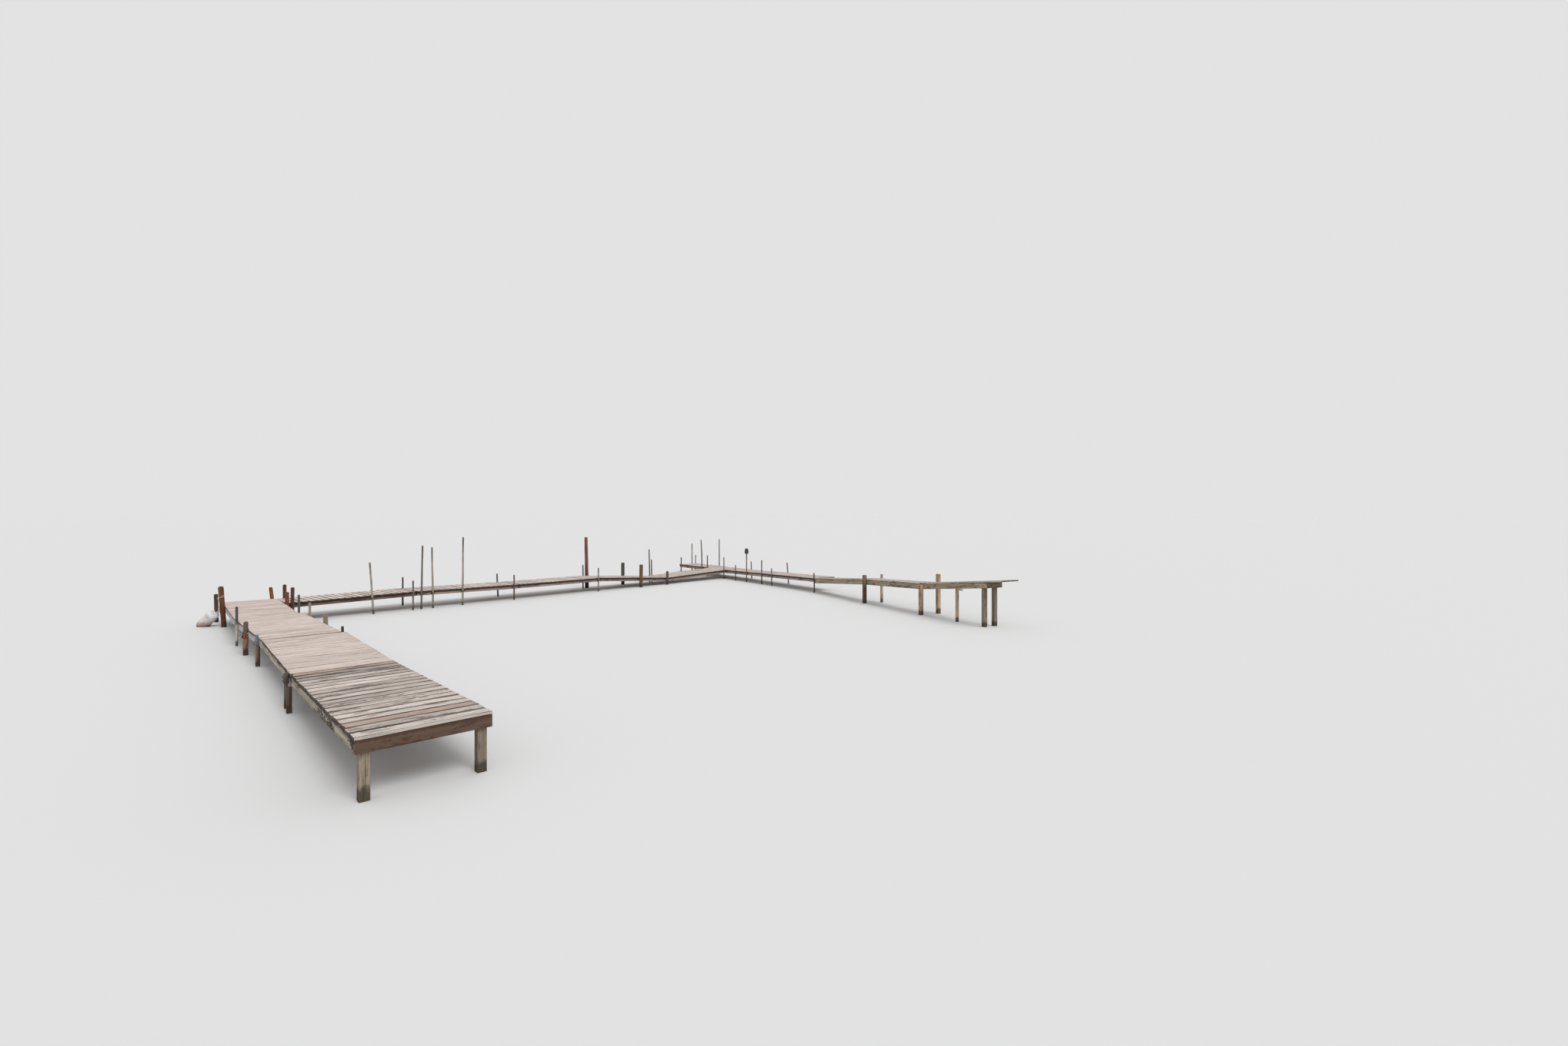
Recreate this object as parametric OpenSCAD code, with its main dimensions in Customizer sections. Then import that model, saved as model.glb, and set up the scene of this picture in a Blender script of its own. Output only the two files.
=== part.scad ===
// Old timber lake jetty: a landing leg with a beach ramp, a cross walkway of five bays
// and a return walkway to the bank with an outer finger, on posts, logs and steel legs.
// X runs along the cross walkway, Y out into the lake, Z up from the water line.

/* [Decks] */
// Widths of the four landing bays, from the beach outwards
leg_widths = [1170, 1170, 1120, 1040]; // [900:10:1300]
// Width of the cross walkway
cross_w = 1170; // [1000:10:1300]
// Width of the finger, the corner and the first return bays
return_w = 900; // [800:10:1000]
// Width of the plank walk near the bank
bank_w = 480; // [400:10:560]
// Thickness of the deck boards
board_t = 28; // [22:1:38]
// Width of the wide boards on the landing leg
leg_board_w = 184; // [140:1:235]
// Width of the boards on the cross walkway and the first return bays
cross_board_w = 136; // [90:1:185]
// Gap between deck boards
board_gap = 7; // [4:1:12]
// How far the boards stand out past the stringers on the landing leg and near the bank
leg_overhang = 8; // [2:1:20]
// How far the boards stand out past the stringers on the other bays
cross_overhang = 22; // [10:1:40]
// Room left round a post where the boards are notched
notch_gap = 8; // [5:1:15]

/* [Frames] */
// Depth of the stringers on the landing leg
leg_stringer_h = 118; // [90:1:140]
// Depth of the stringers on the cross walkway and the first return bays
cross_stringer_h = 92; // [80:1:120]
// Depth of the stringers near the bank
bank_stringer_h = 130; // [100:1:150]
// Thickness of stringers and joists
timber_t = 38; // [30:1:45]
// Gap left between the ends of two bays
joint_gap = 24; // [18:1:40]

/* [Landing leg] */
// Length of the beach ramp
ramp_len = 3800; // [3600:50:4200]
// Length of the two middle landing bays
leg_bay = 3300; // [3100:10:3400]
// Length of the outer landing bay
outer_bay = 3350; // [3100:10:3400]
// Turn of the ramp and its next bay from straight out
ramp_skew = 6.5; // [5:0.5:7]
// Turn of the third bay from straight out
leg_skew = 4; // [3:0.5:5]
// Turn of the outer bay from straight out
outer_skew = 6.5; // [4:0.5:7]
// Deck height at the shore end of the ramp
ramp_z = 585; // [540:5:640]
// Deck height of the landing bays
leg_z = 460; // [440:5:480]
// How much higher the deck is where the ramp ends
ramp_step = 15; // [0:5:30]

/* [Cross walkway] */
// Length of a cross bay
cross_bay = 2850; // [2780:10:2900]
// Deck heights at the first three joints
cross_zs = [485, 445, 440]; // [420:5:500]
// Deck height at the sunken joint
sunken_z = 245; // [230:5:320]
// Deck height at the corner with the return walkway
corner_z = 345; // [320:5:380]
// How far the last cross bay runs in past its length at the corner
corner_reach = 340; // [300:10:380]

/* [Return walkway] */
// Length of the finger and of the first two return bays
return_bay = 2850; // [2750:10:2900]
// Lengths of the three bays near the bank
bank_lens = [2930, 2520, 2320]; // [2000:10:3200]
// Turn of the first return bays from straight out
return_skew = 14.5; // [13:0.5:16]
// Turn of the bays near the bank from straight out
bank_skew = 22.5; // [20:0.5:24]
// How much lower the deck is at the end of the finger
finger_dip = 15; // [0:5:40]
// Deck heights at the ends of the two return bays past the corner
return_zs = [400, 455]; // [380:5:480]
// Deck heights at the first two joints near the bank
bank_zs = [680, 795]; // [640:5:840]
// Deck height at the bank end
bank_z = 1040; // [980:10:1080]
// How far the last planks run on past their frame
plank_tail = 480; // [200:10:500]

/* [Posts] */
// Side of the square timber posts
post_side = 89; // [80:1:100]
// Side of the slim square posts
slim_side = 58; // [45:1:70]
// Diameter of the short poles at the joints
pole_d = 46; // [38:1:56]
// Diameter of the tall mooring poles at the water line
mast_d = 50; // [42:1:60]
// Diameter of the galvanised steel legs
pipe_d = 42; // [34:1:48]
// Wall of the steel legs
pipe_wall = 4; // [3:0.5:5]
// Diameter of the round logs
log_d = 90; // [80:1:100]
// Diameter of the leaning log at the outer corner
corner_d = 116; // [100:1:130]
// Diameter of the big round pile
pile_d = 124; // [110:1:140]

/* [Fittings] */
// Thickness of the steel straps
strap_t = 5; // [3:0.5:6]
// Height of the steel straps
strap_h = 48; // [35:1:60]
// Side of the sleeves round the steel legs
sleeve_side = 58; // [54:1:64]
// Diameter of the float barrel
barrel_d = 250; // [220:5:280]
// Length of the float barrel
barrel_len = 520; // [460:10:560]
// Diameter of the mooring rope
rope_d = 14; // [10:1:18]
// Height of the mooring rope up the corner log
rope_z = 640; // [600:5:680]

/* [Hidden] */
$fn = 40;
LANDING = 0;
CROSS = 1;
BACK = 2;

// Middle of the outline, so that the origin lies under it
centre = [-7357.5, -4669.4];

function step_to(p, heading, length) = [p[0] + length * cos(heading), p[1] + length * sin(heading)];

// Every walkway is laid out along its right-hand edge.
// Where a landing bay turns or narrows, its left corner stays with the bay before.
function left_kept(p, from, from_w, to, to_w) = step_to(step_to(p, from + 90, from_w), to - 90, to_w);

ramp_heading = 90 - ramp_skew;
leg_heading = 90 - leg_skew;
outer_heading = 90 - outer_skew;
leg_0 = [-15450, -12500];
leg_1 = step_to(leg_0, ramp_heading, ramp_len);
leg_1_end = step_to(leg_1, ramp_heading, leg_bay);
leg_2 = left_kept(leg_1_end, ramp_heading, leg_widths[1], leg_heading, leg_widths[2]);
leg_2_end = step_to(leg_2, leg_heading, leg_bay);
leg_3 = left_kept(leg_2_end, leg_heading, leg_widths[2], outer_heading, leg_widths[3]);

return_heading = -90 - return_skew;
bank_heading = -90 - bank_skew;
corner_margin = 45;
first_drop = 5;
corner_len = (cross_w + corner_margin) / cos(return_skew);
back_2 = [0, 0];
back_1 = step_to(back_2, return_heading, -corner_len);
back_0 = step_to(back_1, return_heading, -return_bay);
back_3 = step_to(back_2, return_heading, return_bay);
back_4 = step_to(back_3, return_heading, return_bay);
back_5 = step_to(back_4, bank_heading, bank_lens[0]);
back_6 = step_to(back_5, bank_heading, bank_lens[1]);

// A bay is [start, heading, length, width, deck height at start, at end, stringer depth, board width, overhang]
bays = [
    [
        [leg_0, ramp_heading, ramp_len, leg_widths[0], ramp_z, leg_z + ramp_step, leg_stringer_h, leg_board_w, leg_overhang],
        [leg_1, ramp_heading, leg_bay, leg_widths[1], leg_z + ramp_step, leg_z, leg_stringer_h, leg_board_w, leg_overhang],
        [leg_2, leg_heading, leg_bay, leg_widths[2], leg_z, leg_z, leg_stringer_h, leg_board_w, leg_overhang],
        [leg_3, outer_heading, outer_bay, leg_widths[3], leg_z, leg_z, leg_stringer_h, leg_board_w, leg_overhang]
    ],
    [for (i = [0 : 4])
        [[(i - 5) * cross_bay, 30], 0, cross_bay, cross_w, cross_level(i), cross_level(i + 1),
            cross_stringer_h, cross_board_w, cross_overhang]],
    [
        return_section(back_0, return_bay, corner_z - finger_dip, corner_z),
        return_section(back_1, corner_len, corner_z, corner_z),
        return_section(back_2, return_bay, corner_z, return_zs[0]),
        return_section(back_3, return_bay, return_zs[0], return_zs[1]),
        bank_section(back_4, bank_lens[0], return_zs[1], bank_zs[0]),
        bank_section(back_5, bank_lens[1], bank_zs[0], bank_zs[1]),
        bank_section(back_6, bank_lens[2], bank_zs[1], bank_z)
    ]
];
function cross_level(i) = i == 0 ? leg_z - first_drop : i < 4 ? cross_zs[i - 1] : i == 4 ? sunken_z : corner_z;
function return_section(p, length, z_from, z_to) =
    [p, return_heading, length, return_w, z_from, z_to, cross_stringer_h, cross_board_w, cross_overhang];
function bank_section(p, length, z_from, z_to) =
    [p, bank_heading, length, bank_w, z_from, z_to, bank_stringer_h, 0, leg_overhang];

// A post is [walkway, bay, distance along it, side, height, lean along, lean out].
// Side 0 is the right edge and 1 the left one; 2 is the end face and 3 the start face,
// where the distance runs across from the right edge. Each list has one size.
timber_posts_at = [
    [CROSS, 3, 1600, 0, 785, 0.5, 0],
    [CROSS, 3, 1720, 1, 790, 0, 0],
    [BACK, 5, 70, 0, 800, 0, 0],
    [BACK, 6, 70, 0, 765, 0, 0],
    [BACK, 6, 70, 1, 1005, 0, 0]
];
slim_posts_at = [
    [LANDING, 0, 3740, 1, 335, 0, 0],
    [LANDING, 0, 3740, 0, 335, 0, 0],
    [LANDING, 2, 230, 1, 330, 0, 0],
    [BACK, 5, 145, 1, 810, 0, 0]
];
logs_at = [
    [LANDING, 2, 1390, 0, 620, 0, 0],
    [LANDING, 2, 1500, 1, 605, -1, 0],
    [LANDING, 3, 1900, 0, 740, 2, 0],
    [LANDING, 3, 60, 2, 755, -6, 0],
    [LANDING, 3, 1140, 2, 665, -1, 0],
    [CROSS, 0, 110, 0, 820, 0, 0],
    [CROSS, 0, 240, 1, 795, -1, 0],
    [CROSS, 3, 2770, 0, 485, 0, 0]
];
pipes_at = [
    [LANDING, 1, 225, 1, 435, 0, 0],
    [LANDING, 2, 310, 1, 510, 0, 0],
    [LANDING, 2, 60, 0, 545, 0, 0],
    [LANDING, 2, 2715, 0, 720, 0, 0],
    [LANDING, 2, 2695, 1, 750, 1, 0],
    [LANDING, 3, 70, 0, 835, 1.5, 0]
];
short_poles_at = [
    [CROSS, 0, 2750, 0, 775, 0, 0],
    [CROSS, 1, 70, 1, 785, 0, 0],
    [CROSS, 1, 2690, 0, 740, 0, 0],
    [CROSS, 1, 2780, 1, 705, -2, 0],
    [CROSS, 2, 2740, 0, 770, 0, 0],
    [CROSS, 3, 70, 1, 805, 0, 0],
    [CROSS, 4, 160, 1, 840, -1, 0],
    [CROSS, 4, 1600, 1, 855, 0, 0],
    [CROSS, 4, 2790, 0, 845, 0, 0],
    [BACK, 0, 2620, 0, 845, 0, 0],
    [BACK, 0, 820, 3, 710, 0, 0],
    [BACK, 2, 765, 0, 580, 0, 0],
    [BACK, 2, 510, 1, 670, -5, 0],
    [BACK, 2, 2610, 0, 870, 0, 0],
    [BACK, 3, 420, 0, 620, -2, 0],
    [BACK, 3, 175, 1, 770, -7, 0],
    [BACK, 4, 70, 0, 635, -2, 0]
];
masts_at = [
    [CROSS, 0, 1815, 0, 1310, -4, 0],
    [CROSS, 1, 105, 0, 1690, 1, 0],
    [CROSS, 1, 405, 0, 1640, -1, 0],
    [CROSS, 1, 1190, 0, 1890, 0.4, 0],
    [CROSS, 4, 70, 1, 1225, -1.5, 0],
    [BACK, 0, 640, 3, 1230, 0, 0],
    [BACK, 0, 2015, 1, 1475, -0.5, 0]
];
corner_log_at = [[LANDING, 3, 2400, 1, 915, 3, 3.5]];
crooked_pole_at = [[BACK, 0, 2155, 0, 1480, -2, 0]];
capped_pole_at = [[BACK, 2, 1575, 0, 1060, 0, 0]];
pile_at = [[CROSS, 3, 245, 1, 1745, -1, 0]];
// Each shore leg is a bay and the distance along it
shore_legs_at = [[bays[LANDING][0], 95], [bays[BACK][6], 2150]];
sized_posts = [
    [timber_posts_at, post_side], [slim_posts_at, slim_side], [logs_at, log_d], [pipes_at, sleeve_side],
    [short_poles_at, pole_d], [masts_at, mast_d], [corner_log_at, corner_d], [crooked_pole_at, mast_d],
    [capped_pole_at, pole_d], [pile_at, pile_d]
];

function pitch_of(bay) = asin((bay[5] - bay[4]) / bay[2]);
function deck_z(bay, along) = bay[4] + (bay[5] - bay[4]) * along / bay[2];
function under_z(bay, along) = deck_z(bay, along) - board_t - bay[6];
function edge_y(bay, side, reach) = side == 0 ? bay[8] - reach : bay[3] - bay[8] + reach;
function post_deck_z(p) = p[3] == 2 ? bays[p[0]][p[1]][5] : p[3] == 3 ? bays[p[0]][p[1]][4] : deck_z(bays[p[0]][p[1]], p[2]);
function foot_in(bay, p) = tan(p[6]) * under_z(bay, p[2]);
function on_bay(at, walk, i) = [for (p = at) if (p[0] == walk && p[1] == i) p];

// Shifts the whole jetty so that the origin is under the middle of its outline
module placed() {
    translate([-centre[0], -centre[1], 0])
        children();
}

// Works in a bay's own frame: X along it, Y across it from the right edge, Z up from its deck
module in_bay(bay) {
    translate([bay[0][0], bay[0][1], bay[4]])
        rotate([0, -pitch_of(bay), bay[1]])
            children();
}

// Stands a piece upright at a post's place, with Y pointing away from the walkway
module at_post(p, size) {
    bay = bays[p[0]][p[1]];
    translate([bay[0][0], bay[0][1], 0])
        rotate([0, 0, bay[1]])
            if (p[3] == 2)
                translate([bay[2] - joint_gap / 2 + size / 2, p[2], 0])
                    rotate([0, 0, -90]) children();
            else if (p[3] == 3)
                translate([joint_gap / 2 - size / 2, p[2], 0])
                    rotate([0, 0, 90]) children();
            else
                translate([p[2], edge_y(bay, p[3], size / 2 - foot_in(bay, p)), 0])
                    mirror([0, p[3] == 0 ? 1 : 0, 0]) children();
}

// Boards laid across a bay with even gaps
module cross_boards(bay, extra) {
    run = bay[2] - joint_gap + extra;
    count = floor((run + board_gap) / (bay[7] + board_gap));
    pitch = (run + board_gap) / count;
    for (i = [0 : count - 1])
        translate([joint_gap / 2 + i * pitch, 0, -board_t])
            cube([pitch - board_gap, bay[3], board_t]);
}

// Two planks laid along a bay
module long_planks(bay, extra) {
    plank_w = (bay[3] - board_gap) / 2;
    for (i = [0, 1])
        translate([joint_gap / 2, i * (plank_w + board_gap), -board_t])
            cube([bay[2] - joint_gap + extra, plank_w, board_t]);
}

// Notches the boards round the posts that stand at a bay
module notched(walk, i) {
    bay = bays[walk][i];
    difference() {
        children();
        for (group = sized_posts)
            for (p = on_bay(group[0], walk, i))
                if (p[3] < 2)
                    translate([p[2] + tan(p[5]) * deck_z(bay, p[2]), edge_y(bay, p[3], group[1] / 2), 0])
                        cube([group[1] + 2 * notch_gap, group[1] + 2 * notch_gap, 3 * board_t], center = true);
    }
}

// Two stringers with an end header at each end and joists between them
module ladder(bay, joists, extra) {
    depth = board_t + bay[6];
    outer = bay[3] - 2 * bay[8];
    run = bay[2] - joint_gap;
    for (y = [bay[8], bay[3] - bay[8] - timber_t])
        translate([joint_gap / 2, y, -depth])
            cube([run + extra, timber_t, bay[6]]);
    for (k = [0 : joists])
        translate([joint_gap / 2 + k * (run - timber_t) / joists, bay[8] + timber_t, -depth])
            cube([timber_t, outer - 2 * timber_t, bay[6]]);
}

// Cuts the last cross bay along the side of the return walkway
module trimmed_to_return() {
    difference() {
        children();
        translate([back_2[0], back_2[1], -500])
            rotate([0, 0, return_heading])
                translate([-2 * return_bay, -joint_gap / 2, 0])
                    cube([4 * return_bay, 3000, 2000]);
    }
}

// Cuts the first cross bay along the side of the landing leg
module trimmed_to_leg() {
    difference() {
        children();
        translate([leg_3[0], leg_3[1], -500])
            rotate([0, 0, outer_heading])
                translate([-outer_bay, -joint_gap / 2, 0])
                    cube([3 * outer_bay, 2000, 2000]);
    }
}

module leg_deck(i) {
    color(i == 0 ? "darkgray" : "wheat")
        in_bay(bays[LANDING][i])
            notched(LANDING, i)
                cross_boards(bays[LANDING][i], 0);
}

module leg_frame(i) {
    color("gray")
        in_bay(bays[LANDING][i])
            ladder(bays[LANDING][i], 6, 0);
}

module cross_deck(i) {
    reach = i == 4 ? corner_reach : 0;
    color("bisque")
        trimmed_to_leg() trimmed_to_return()
            in_bay(bays[CROSS][i])
                notched(CROSS, i)
                    cross_boards(bays[CROSS][i], reach);
}

module cross_frame(i) {
    reach = i == 4 ? corner_reach : 0;
    color("saddlebrown")
        trimmed_to_leg() trimmed_to_return()
            in_bay(bays[CROSS][i])
                ladder(bays[CROSS][i], 5, reach);
}

module return_deck(i) {
    bay = bays[BACK][i];
    color("bisque")
        in_bay(bay)
            notched(BACK, i)
                if (i < 4) cross_boards(bay, 0);
                else if (i < 6) long_planks(bay, 0);
                else broken_planks(bay);
}

// The last planks run on to the bank, and the far one has lost a piece of its edge
module broken_planks(bay) {
    gap_at = 1380;
    gap_len = 240;
    gap_in = 95;
    difference() {
        long_planks(bay, plank_tail);
        translate([gap_at, bay[3] - gap_in, -2 * board_t])
            cube([gap_len, 2 * gap_in, 3 * board_t]);
    }
}

module return_frame(i) {
    color("sienna")
        in_bay(bays[BACK][i])
            ladder(bays[BACK][i], i == 1 ? 2 : 5, 0);
}

// Leans a piece along and away from the walkway, and cuts its foot flat at the water line
module leaning(p) {
    intersection() {
        rotate([-p[6], p[5], 0])
            children();
        translate([-500, -500, 0])
            cube([1000, 1000, 3000]);
    }
}

// Square timber post with its top edges worn away
module square_post(side, top) {
    worn_h = 10;
    worn_in = 4;
    translate([-side / 2, -side / 2, 0])
        cube([side, side, top - worn_h]);
    translate([-side / 2 + worn_in, -side / 2 + worn_in, top - worn_h])
        cube([side - 2 * worn_in, side - 2 * worn_in, worn_h]);
}

// Round pole, thicker at its foot, with a bevelled top
module round_pole(d, top, taper) {
    top_r = d / 2 * taper;
    bevel = d / 12;
    rotate_extrude()
        polygon([[0, -200], [d / 2, -200], [d / 2, 0], [top_r, top - bevel], [top_r - bevel, top], [0, top]]);
}

// Round log with a domed head
module log_post(d, top) {
    head = d / 5;
    rotate_extrude()
        intersection() {
            union() {
                translate([0, -200])
                    square([d / 2, top + 200 - head]);
                translate([0, top - head])
                    half_dome(d, head);
            }
            translate([0, -300])
                square([d, top + 400]);
        }
}

// Half outline of a low dome, as a circle segment
module half_dome(d, head) {
    r = (head * head + d * d / 4) / (2 * head);
    intersection() {
        translate([0, head - r])
            circle(r = r, $fn = 96);
        square([d / 2, head + 1]);
    }
}

// Steel pipe with an open top
module pipe_leg(top) {
    difference() {
        translate([0, 0, -200])
            cylinder(d = pipe_d, h = top + 200);
        translate([0, 0, -300])
            cylinder(d = pipe_d - 2 * pipe_wall, h = top + 400);
    }
}

module timber_posts() {
    color("peru") {
        for (p = timber_posts_at)
            at_post(p, post_side)
                leaning(p) square_post(post_side, p[4]);
        for (end = shore_legs_at)
            for (side = [0, 1])
                shore_leg(end[0], end[1], side);
    }
}

// Leg under a shore end, inside the frame and hidden by the ground in use
module shore_leg(bay, along, side) {
    inside = bay[8] + timber_t;
    translate([bay[0][0], bay[0][1], 0])
        rotate([0, 0, bay[1]])
            translate([along - post_side / 2, side == 0 ? inside : bay[3] - inside - post_side, 0])
                cube([post_side, post_side, deck_z(bay, along) - board_t - 12]);
}

module slim_posts() {
    color("tan") {
        for (p = slim_posts_at)
            at_post(p, slim_side)
                leaning(p) square_post(slim_side, p[4]);
        bank_prop();
    }
}

// Short prop with a cross piece under the stringer, near the bank
module bank_prop() {
    bay = bays[BACK][6];
    along = 1315;
    pad_t = 25;
    pad_len = 200;
    room = 4;
    top = under_z(bay, along) - room;
    translate([bay[0][0], bay[0][1], 0])
        rotate([0, 0, bay[1]])
            translate([along, bay[8], 0]) {
                translate([-slim_side / 2, 0, 0])
                    cube([slim_side, slim_side, top - pad_t]);
                translate([-slim_side / 2, 0, top - pad_t])
                    cube([pad_len, slim_side, pad_t]);
            }
}

module round_logs() {
    color("sienna") {
        for (p = logs_at)
            at_post(p, log_d)
                leaning(p) log_post(log_d, p[4]);
        for (p = corner_log_at)
            at_post(p, corner_d)
                leaning(p) log_post(corner_d, p[4]);
    }
}

module steel_legs() {
    color("silver")
        for (p = pipes_at)
            at_post(p, sleeve_side)
                leaning(p) pipe_leg(p[4]);
}

// Square sleeves that hold the steel legs to the stringers
module leg_sleeves() {
    color("dimgray")
        for (p = pipes_at)
            sleeve_at(p);
}

module sleeve_at(p) {
    h = 130;
    above = 10;
    at_post(p, sleeve_side)
        rotate([0, p[5], 0])
            translate([0, 0, post_deck_z(p) - board_t - h + above])
                difference() {
                    translate([-sleeve_side / 2, -sleeve_side / 2, 0])
                        cube([sleeve_side, sleeve_side, h]);
                    translate([0, 0, -1])
                        cylinder(d = pipe_d + 1, h = h + 2);
                }
}

module short_poles() {
    color("slategray") {
        for (p = short_poles_at)
            at_post(p, pole_d)
                leaning(p) round_pole(pole_d, p[4], 0.88);
        for (p = capped_pole_at)
            at_post(p, pole_d)
                leaning(p) round_pole(pole_d, p[4], 0.9);
    }
}

module tall_masts() {
    color("dimgray") {
        for (p = masts_at)
            at_post(p, mast_d)
                leaning(p) round_pole(mast_d, p[4], 0.8);
        for (p = crooked_pole_at)
            at_post(p, mast_d)
                leaning(p) crooked_pole(mast_d, p[4]);
    }
}

// Pole that bends over a little in its upper half
module crooked_pole(d, top) {
    bend_z = top * 0.62;
    bend = 4;
    translate([0, 0, -200])
        cylinder(d = d, h = bend_z + 200);
    translate([0, 0, bend_z]) {
        sphere(d = d);
        rotate([0, -bend, 0])
            cylinder(d1 = d, d2 = d * 0.75, h = top - bend_z);
    }
}

module big_pile() {
    color("brown")
        for (p = pile_at)
            at_post(p, pile_d)
                leaning(p) round_pole(pile_d, p[4], 0.86);
}

// Dark domed cap on the pole beside the return walkway
module pole_cap() {
    cap_r = 72;
    skirt_h = 115;
    dome_h = 90;
    p = capped_pole_at[0];
    color("darkslategray")
        at_post(p, pole_d)
            translate([0, 0, p[4]])
                rotate_extrude()
                    polygon(concat([[0, 0], [cap_r - 14, 0], [cap_r, 14]],
                        [for (a = [0 : 15 : 90]) [cap_r * cos(a), skirt_h + dome_h * sin(a)]]));
}

// Steel straps that hold the round poles to the stringers
module pole_straps() {
    color("gray")
        for (group = [[short_poles_at, pole_d], [masts_at, mast_d], [crooked_pole_at, mast_d], [capped_pole_at, pole_d]])
            for (p = group[0])
                strap_at(p, group[1]);
}

module strap_at(p, d) {
    bay = bays[p[0]][p[1]];
    at_post(p, d)
        rotate([0, p[5], 0])
            translate([0, 0, post_deck_z(p) - board_t - bay[6] / 2 - strap_h / 2])
                linear_extrude(strap_h)
                    strap_outline(d);
}

// Bent strip round a pole, with an ear on each side flat against the stringer
module strap_outline(d) {
    r = d / 2;
    ear = 20;
    slot_w = 18;
    intersection() {
        difference() {
            union() {
                circle(r = r + strap_t);
                translate([-r - ear, -r])
                    square([2 * (r + ear), strap_t]);
            }
            circle(r = r + 0.3);
            translate([-slot_w / 2, -r - 1])
                square([slot_w, strap_t + 1]);
        }
        translate([-3 * d, -r])
            square([6 * d, 3 * d]);
    }
}

// White float barrel that leans towards the corner log, cut at the water line
module float_barrel() {
    bay = bays[LANDING][3];
    r = barrel_d / 2;
    bevel = 28;
    place = [2880, 1420, 4];
    tilt = 54;
    turn = -152;
    color("white")
        translate([bay[0][0], bay[0][1], 0])
            rotate([0, 0, bay[1]])
                intersection() {
                    translate(place)
                        rotate([0, tilt, turn])
                            rotate([0, 0, 40])
                                rotate_extrude()
                                    polygon([[0, 0], [r - bevel, 0], [r, bevel], [r, barrel_len - bevel],
                                        [r - bevel, barrel_len], [0, barrel_len]]);
                    translate([place[0] - 2 * barrel_len, place[1] - 2 * barrel_len, 0])
                        cube(4 * barrel_len);
                }
}

// Mooring rope laid twice round the corner log
module log_rope() {
    p = corner_log_at[0];
    color("linen")
        at_post(p, corner_d)
            rotate([-p[6], p[5], 0])
                for (z = [rope_z, rope_z + rope_d + 1])
                    translate([0, 0, z])
                        rotate_extrude()
                            translate([(corner_d + rope_d) / 2 + 0.3, 0])
                                circle(d = rope_d);
}

for (i = [1 : 4]) placed() leg_deck(i - 1);
for (i = [1 : 4]) placed() leg_frame(i - 1);
for (i = [1 : 5]) placed() cross_deck(i - 1);
for (i = [1 : 5]) placed() cross_frame(i - 1);
for (i = [1 : 7]) placed() return_deck(i - 1);
for (i = [1 : 7]) placed() return_frame(i - 1);
placed() timber_posts();
placed() slim_posts();
placed() round_logs();
placed() steel_legs();
placed() leg_sleeves();
placed() short_poles();
placed() tall_masts();
placed() big_pile();
placed() pole_cap();
placed() pole_straps();
placed() float_barrel();
placed() log_rope();
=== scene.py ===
import math
import random

import bmesh
import bpy
from mathutils import Matrix, Vector, noise
from mathutils.bvhtree import BVHTree


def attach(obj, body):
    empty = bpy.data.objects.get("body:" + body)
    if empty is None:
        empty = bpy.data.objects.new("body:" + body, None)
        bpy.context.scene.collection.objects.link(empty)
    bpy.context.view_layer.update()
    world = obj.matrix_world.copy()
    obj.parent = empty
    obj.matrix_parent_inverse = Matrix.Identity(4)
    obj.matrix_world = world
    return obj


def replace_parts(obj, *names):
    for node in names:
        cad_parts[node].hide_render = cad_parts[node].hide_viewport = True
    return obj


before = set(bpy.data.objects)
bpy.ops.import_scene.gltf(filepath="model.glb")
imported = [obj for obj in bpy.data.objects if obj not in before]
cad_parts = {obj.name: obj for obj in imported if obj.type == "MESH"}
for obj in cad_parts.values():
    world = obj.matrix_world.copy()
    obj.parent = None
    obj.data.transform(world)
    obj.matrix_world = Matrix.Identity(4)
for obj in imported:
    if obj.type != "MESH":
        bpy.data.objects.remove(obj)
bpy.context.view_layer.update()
scene = bpy.context.scene
UP = Vector((0, 0, 1))

# Camera at the photograph's place: level, 2.5 m above the water line

PHOTO_WIDTH = 2038
FOCAL_PIXELS = 870
HORIZON_ABOVE_MIDDLE = 10
SENSOR = 36
CAMERA_PLACE = (-11.2235, -14.2336, 2.5)
CAMERA_HEADING = -49.5

camera_data = bpy.data.cameras.new("camera")
camera_data.sensor_width = SENSOR
camera_data.lens = FOCAL_PIXELS / PHOTO_WIDTH * SENSOR
camera_data.shift_y = -HORIZON_ABOVE_MIDDLE / PHOTO_WIDTH
camera_data.clip_end = 1500
camera = bpy.data.objects.new("camera", camera_data)
camera.location = CAMERA_PLACE
camera.rotation_euler = (math.radians(90), 0, math.radians(CAMERA_HEADING))
scene.collection.objects.link(camera)
scene.camera = camera

# Directions of the walkways, in degrees from X

HEADINGS = {
    "leg_1": 83.5, "leg_2": 83.5, "leg_3": 86, "leg_4": 83.5,
    "cross_1": 0, "cross_2": 0, "cross_3": 0, "cross_4": 0, "cross_5": 0,
    "return_1": -104.5, "return_2": -104.5, "return_3": -104.5, "return_4": -104.5,
    "return_5": -112.5, "return_6": -112.5, "return_7": -112.5,
}


def along(heading, rise=0.0):
    angle = math.radians(heading)
    return Vector((math.cos(angle), math.sin(angle), rise)).normalized()


def across(heading):
    return along(heading + 90)


# Shaders

FLOAT = "NodeSocketFloat"
COLOUR = "NodeSocketColor"
VECTOR = "NodeSocketVector"


def grey(value):
    return (value, value, value, 1)


def srgb(red, green, blue):
    """A colour as it is read off a picture, 0 to 255."""

    def linear(value):
        value = value / 255
        return value / 12.92 if value <= 0.04045 else ((value + 0.055) / 1.055) ** 2.4

    return (linear(red), linear(green), linear(blue), 1)


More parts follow.
